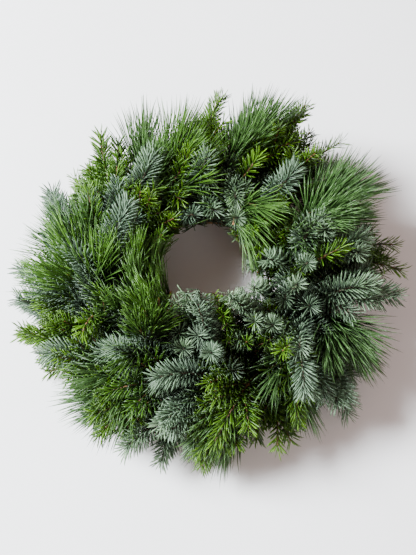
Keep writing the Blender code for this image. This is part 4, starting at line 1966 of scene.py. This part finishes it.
# Each row's bunches, one for each turn of the wire from twelve o'clock round clockwise: the letter
# of the species, where the main twig comes out between the others, its tip, and how bluish the
# needles are, from 0 to 1. A place is a clock angle, then a radius and a height in millimetres.
PLANTING = {
    Row.OUTER: (
        ("F", (352, 145, 55), (5, 195, 90), 0.0),
        ("P", (12, 145, 60), (17, 160, 90), 0.7),
        ("F", (28, 160, 60), (31, 202, 96), 0.0),
        ("P", (56, 125, 75), (60, 158, 85), 0.9),
        ("F", (72, 150, 45), (79, 200, 52), 0.0),
        ("P", (108, 132, 58), (116, 158, 60), 1.0),
        ("N", (128, 140, 50), (136, 182, 60), 0.5),
        ("F", (146, 130, 55), (150, 170, 45), 0.0),
        ("P", (165, 130, 45), (171, 150, 45), 0.8),
        ("N", (186, 120, 65), (194, 160, 78), 0.0),
        ("P", (211, 135, 40), (220, 160, 40), 1.0),
        ("F", (243, 135, 45), (253, 195, 38), 0.0),
        ("N", (258, 155, 30), (264, 192, 42), 0.8),
        ("P", (276, 122, 65), (283, 140, 80), 0.9),
        ("F", (300, 125, 55), (322, 175, 80), 0.0),
        ("P", (328, 135, 60), (334, 152, 82), 0.7),
    ),
    Row.CROWN: (
        ("N", (352, 130, 70), (360, 92, 100), 0.6),
        ("N", (14, 115, 75), (24, 74, 102), 0.0),
        ("F", (38, 165, 60), (45, 200, 85), 0.0),
        ("P", (64, 120, 75), (70, 125, 108), 0.9),
        ("N", (74, 125, 70), (78, 118, 116), 0.0),
        ("N", (96, 128, 82), (101, 172, 80), 0.4),
        ("F", (128, 113, 72), (143, 118, 108), 0.0),
        ("F", (160, 115, 88), (178, 158, 62), 0.0),
        ("N", (176, 100, 85), (200, 124, 98), 0.6),
        ("N", (204, 92, 85), (227, 130, 84), 0.6),
        ("F", (214, 125, 72), (217, 172, 54), 0.0),
        ("N", (257, 132, 74), (272, 188, 58), 0.9),
        ("P", (262, 112, 80), (272, 128, 92), 0.0),
        ("N", (285, 126, 55), (297, 180, 70), 1.0),
        ("F", (304, 115, 75), (318, 135, 105), 0.5),
        ("P", (338, 118, 75), (348, 140, 95), 0.0),
    ),
    Row.INNER: (
        ("N", (356, 86, 70), (8, 57, 96), 0.4),
        ("N", (22, 74, 62), (34, 56, 98), 0.0),
        ("F", (44, 76, 68), (56, 56, 102), 0.0),
        ("F", (66, 70, 60), (78, 54, 96), 0.0),
        ("N", (84, 84, 72), (94, 60, 112), 0.3),
        ("N", (112, 66, 65), (124, 56, 106), 0.0),
        ("N", (136, 70, 72), (148, 57, 112), 0.0),
        ("F", (158, 66, 66), (168, 54, 104), 0.4),
        ("N", (176, 72, 75), (186, 57, 116), 0.6),
        ("N", (200, 66, 62), (208, 54, 100), 0.0),
        ("P", (214, 76, 72), (226, 62, 104), 0.0),
        ("P", (242, 74, 60), (252, 66, 90), 0.3),
        ("P", (266, 80, 58), (274, 68, 86), 0.0),
        ("F", (290, 70, 58), (304, 54, 92), 0.6),
        ("F", (310, 76, 64), (324, 56, 98), 0.0),
        ("N", (334, 72, 58), (346, 56, 90), 0.8),
    ),
}

# The two places of a second full twig, for the bunches that have one, by the turn they are on.
SECOND_TWIGS = {
    Row.OUTER: {
        2: ((13, 146, 68), (22, 164, 94)), 3: ((25, 158, 68), (31, 202, 106)),
        4: ((57, 132, 78), (62, 168, 86)), 5: ((77, 154, 48), (88, 200, 57)),
        7: ((124, 146, 52), (133, 187, 58)),
    },
    Row.CROWN: {
        6: ((95, 132, 80), (98, 190, 72)), 8: ((157, 122, 82), (182, 178, 52)),
        11: ((207, 132, 68), (212, 188, 52)),
    },
    Row.INNER: {
        7: ((139, 64, 78), (152, 47, 118)), 8: ((160, 60, 74), (170, 41, 114)),
        9: ((176, 64, 82), (190, 40, 121)), 10: ((196, 60, 70), (204, 43, 112)),
        16: ((325, 72, 46), (352, 44, 52)),
    },
}

# The sprigs between the bunches, in the same terms.
SPRIGS = (
    ("N", (281, 141, 92), (295, 170, 98), 1.0),
    ("N", (280, 96, 106), (303, 92, 116), 1.0),
    ("F", (287, 112, 106), (301, 138, 108), 0.2),
    ("N", (318, 100, 106), (334, 122, 114), 0.7),
    ("F", (340, 84, 104), (352, 117, 112), 0.0),
    ("N", (353, 80, 108), (1, 108, 114), 0.5),
    ("F", (23, 89, 104), (26, 122, 112), 0.0),
    ("N", (46, 92, 108), (44, 127, 114), 0.8),
    ("N", (80, 82, 114), (72, 117, 116), 0.3),
    ("N", (86, 122, 106), (81, 158, 100), 0.4),
    ("F", (95, 100, 112), (86, 132, 110), 0.2),
    ("N", (130, 118, 98), (144, 156, 88), 0.7),
    ("N", (130, 134, 82), (138, 168, 66), 0.9),
    ("F", (143, 140, 72), (149, 172, 56), 0.1),
    ("P", (139, 122, 58), (141, 146, 48), 1.0),
    ("F", (162, 122, 100), (177, 170, 66), 0.1),
    ("F", (203, 121, 88), (216, 156, 78), 0.6),
    ("F", (239, 160, 66), (252, 190, 58), 0.0),
    ("F", (250, 112, 102), (238, 136, 98), 0.0),
    ("N", (267, 108, 102), (275, 132, 102), 0.8),
    ("P", (33, 72, 100), (44, 54, 88), 0.3),
    ("F", (176, 150, 48), (181, 187, 40), 0.0),
    ("P", (214, 130, 62), (214, 158, 50), 1.0),
    ("P", (203, 118, 60), (203, 145, 46), 1.0),
    ("F", (314, 150, 92), (322, 178, 100), 0.2),
    ("N", (236, 146, 84), (240, 176, 74), 0.6),
    ("F", (358, 148, 84), (4, 188, 96), 0.0),
    ("F", (25, 148, 92), (31, 190, 106), 0.0),
    ("N", (102, 132, 102), (99, 160, 96), 0.1),
)

NEEDLE_FINISHES = {
    Species.NOBLE_FIR: NeedleFinish(
        "silvery noble fir needles", root=(0.001, 0.005, 0.001), dark=(0.002, 0.014, 0.003),
        light=(0.030, 0.080, 0.023), tip=(0.20, 0.335, 0.145), cool=(0.018, 0.053, 0.025),
        cool_tip=(0.16, 0.28, 0.165), new_growth=0.6, band=(0.45, 0.57, 0.43), bands=0.24,
        bloom=0.08, roughness=0.36, gloss=0.36,
    ),
    Species.GREEN_FIR: NeedleFinish(
        "bright green fir needles", root=(0.001, 0.005, 0.0005), dark=(0.002, 0.012, 0.0005),
        light=(0.024, 0.090, 0.0005), tip=(0.14, 0.295, 0.003), cool=(0.009, 0.052, 0.004),
        cool_tip=(0.06, 0.18, 0.015), new_growth=0.6, band=(0.18, 0.34, 0.05), bands=0.15,
        bloom=0.05, roughness=0.36, gloss=0.33,
    ),
    Species.PINE: NeedleFinish(
        "soft pine needles", root=(0.001, 0.005, 0.001), dark=(0.001, 0.010, 0.0005),
        light=(0.030, 0.100, 0.001), tip=(0.105, 0.245, 0.006), cool=(0.015, 0.055, 0.011),
        cool_tip=(0.135, 0.265, 0.085), new_growth=0.35, band=(0.20, 0.37, 0.10), bands=0.22,
        bloom=0.06, roughness=0.36, gloss=0.33,
    ),
}

BARK_FINISHES = {
    Species.NOBLE_FIR: GrainFinish(
        "grey-brown noble fir bark", (0.02, 0.015, 0.008), (0.10, 0.075, 0.04), 420, 900, 0.4,
        0.3 * MM, 0.8,
    ),
    Species.GREEN_FIR: GrainFinish(
        "red-brown fir bark", (0.03, 0.014, 0.004), (0.17, 0.075, 0.02), 420, 900, 0.35,
        0.25 * MM, 0.65,
    ),
    Species.PINE: GrainFinish(
        "pine bark", (0.05, 0.028, 0.01), (0.2, 0.12, 0.05), 380, 800, 0.45, 0.35 * MM, 0.75,
    ),
}
BUD_FINISH = GrainFinish(
    "orange-brown buds", (0.16, 0.05, 0.015), (0.48, 0.2, 0.06), 600, 1400, 0.4, 0.2 * MM, 0.45,
)
WIRE_FINISH = GrainFinish(
    "green lacquered wire", (0.02, 0.07, 0.03), (0.12, 0.14, 0.11), 120, 900, 0.3, 0.05 * MM, 0.28,
    worn=0.55, strength=0.3, metallic=0.4, coat=0.3,
)
STRAW_FINISH = GrainFinish(
    "dry bundled straw", (0.12, 0.05, 0.025), (0.42, 0.25, 0.11), 260, 700, 0.3, 0.4 * MM, 0.85,
)


@dataclass
class Foliage:
    """All the bunches and sprigs of the wreath.

    Attributes:
        ring: Where the ring runs.
        wire: How the wire is wound.
        room: The room that the foliage keeps to.
        groups: The shared effects of the materials.
    """

    ring: RingFrame
    wire: WireCourse
    room: Room
    groups: ShaderGroups

    # Where the sprigs sit.
    SEAT = Seat(76, 0, 0, 1.0)

    def materials(self) -> dict[Species, dict[str, bpy.types.Material]]:
        """Makes the materials.

        Returns:
            Those of each species, by the names of the tree's inputs.
        """
        buds = BUD_FINISH.build(self.groups)
        return {
            species: {
                "Needle material": NEEDLE_FINISHES[species].build(self.groups, self.ring),
                "Bark": BARK_FINISHES[species].build(self.groups),
                "Bud material": buds,
            }
            for species in Species
        }

    def build(self) -> Iterator[bpy.types.Object]:
        """Builds the bunches, row by row, and then the sprigs.

        Yields:
            Each piece.
        """
        tree, materials = SprayTree(), self.materials()
        number = 0
        for row, bunches in PLANTING.items():
            for turn, (letter, base, tip, cool) in enumerate(bunches):
                species = Species(letter)
                habit, seat = HABITS[species], SEATS[row][turn % 2]
                second = SECOND_TWIGS[row].get(turn + 1)
                bunch = Bunch(
                    number, habit, self.ring, self.wire, self.room, turn, row, seat,
                    Place(*base), Place(*tip), cool, second and tuple(Place(*at) for at in second),
                )
                label = f"{row.value}_{turn + 1:02d}"
                piece = bunch.build(f"{habit.piece}_bunch_{label}", tree, materials[species])
                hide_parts(f"{habit.node}_{label}")
                number += 1
                yield piece
        for species, lines in self.sprigs(number).items():
            habit = HABITS[species]
            name = f"{habit.piece}_sprigs"
            yield grow_piece(name, lines, habit, self.room, tree, materials[species], number)

    def sprigs(self, number: int) -> dict[Species, list[Line]]:
        """Grows the sprigs.

        Args:
            number: The number that the first one's random draws start from.

        Returns:
            The lines of each species' sprigs.
        """
        grown = {}
        for count, (letter, base, tip, cool) in enumerate(SPRIGS):
            species, row = Species(letter), Row.CROWN
            turn = round(base[0] / 360 * self.wire.turns) % self.wire.turns
            sprig = Sprig(
                number + count, HABITS[species], self.ring, self.wire, self.room, turn, row,
                self.SEAT, Place(*base), Place(*tip), cool,
            )
            grown.setdefault(species, []).extend(sprig.grow())
        return grown


# The table, the light and the camera


@dataclass(frozen=True)
class Softbox:
    """A square area light that points at the middle of the wreath.

    Attributes:
        name: Its name.
        place: Where it stands.
        size: Its width.
        power: Its power in watts.
        colour: Its colour.
    """

    name: str
    place: tuple[float, float, float]
    size: float
    power: float
    colour: Colour

    def build(self) -> None:
        """Adds the light to the scene."""
        light = bpy.data.lights.new(self.name, "AREA")
        light.shape, light.size = "SQUARE", self.size
        light.energy, light.color = self.power, self.colour
        obj = new_object(self.name, light)
        obj.location = self.place
        obj.rotation_mode = "QUATERNION"
        obj.rotation_quaternion = Vector(self.place).to_track_quat("Z", "Y")


@dataclass
class Studio:
    """The table, the lights and the camera.

    Attributes:
        lights: The softboxes.
        sky: The colour of the light from all round.
        sky_strength: Its strength.
        table: Half the width of the table.
        elevation: The camera's height over the table, as an angle.
        lens: Its focal length in millimetres.
        frame_height: The frame's height in pixels.
        scale: Pixels to a metre at the wreath's middle, on the table.
        middle: Where the wreath's middle stands in the frame, in pixels right of the frame's
            middle and over it.
    """

    lights: tuple[Softbox, ...] = (
        Softbox("key", (-2.36, 0.45, 2.0), 1.2, 640, (0.89, 0.965, 1.0)),
        Softbox("fill", (0.8, -2.0, 2.0), 1.6, 16, (1.0, 0.98, 0.97)),
    )
    sky: Colour = (1.0, 0.75, 0.68)
    sky_strength: float = 0.52
    table: float = 6.0
    elevation: float = 68
    lens: float = 50
    frame_height: int = 555
    scale: float = 914
    middle: tuple[float, float] = (-2, -18.5)

    def add_table(self) -> None:
        """Adds the table, which isn't part of the wreath."""
        shape = bmesh.new()
        bmesh.ops.create_grid(shape, x_segments=8, y_segments=8, size=self.table)
        obj = shape_object("pale_table", shape, TableFinish().build())
        obj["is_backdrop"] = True

    def add_sky(self) -> None:
        """Adds the light from all round."""
        world = bpy.data.worlds.new("studio")
        world.use_nodes = True
        background = world.node_tree.nodes["Background"]
        background.inputs["Color"].default_value = (*self.sky, 1)
        background.inputs["Strength"].default_value = self.sky_strength
        bpy.context.scene.world = world

    def add_camera(self) -> None:
        """Adds the camera, at the photograph's viewing angle."""
        data = bpy.data.cameras.new("camera")
        data.lens = self.lens
        data.clip_start, data.clip_end = 0.05, 50
        lean = math.radians(self.elevation)
        back = Vector((0, -math.cos(lean), math.sin(lean)))
        upward = Vector((0, math.sin(lean), math.cos(lean)))
        right, over = self.middle
        aim = Vector((-right / self.scale, 0, 0)) - upward * (over / self.scale)
        distance = self.lens / data.sensor_width * self.frame_height / self.scale
        obj = new_object("camera", data)
        obj.location = aim + back * distance
        obj.rotation_mode = "QUATERNION"
        obj.rotation_quaternion = (-back).to_track_quat("-Z", "Y")
        bpy.context.scene.camera = obj

    def build(self) -> None:
        """Sets up the table, the lights and the camera."""
        self.add_table()
        self.add_sky()
        self.add_camera()
        for light in self.lights:
            light.build()


def report(piece: bpy.types.Object) -> None:
    """Logs a piece's name and its faces."""
    log.info("%s: %d faces", piece.name, len(piece.data.polygons))


def main() -> None:
    """Builds the wreath, piece by piece, and what stands round it."""
    logging.basicConfig(level=logging.INFO, format="%(message)s")
    Studio().build()
    groups, ring, wire = ShaderGroups(), RingFrame(), WireCourse()
    sweep = SweepTree()
    report(BundledStraw(ring, wire).build(sweep, STRAW_FINISH.build(groups)))
    report(BindingWire(ring, wire).build(sweep, WIRE_FINISH.build(groups)))
    total = 0
    for piece in Foliage(ring, wire, Room(), groups).build():
        report(piece)
        total += len(piece.data.polygons)
    log.info("foliage: %d faces", total)
    seen_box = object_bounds()
    boxes = {"cad": cad_box, "seen": seen_box}
    {name: [list(corner) for corner in box] for name, box in boxes.items()}


if __name__ == "__main__":
    main()
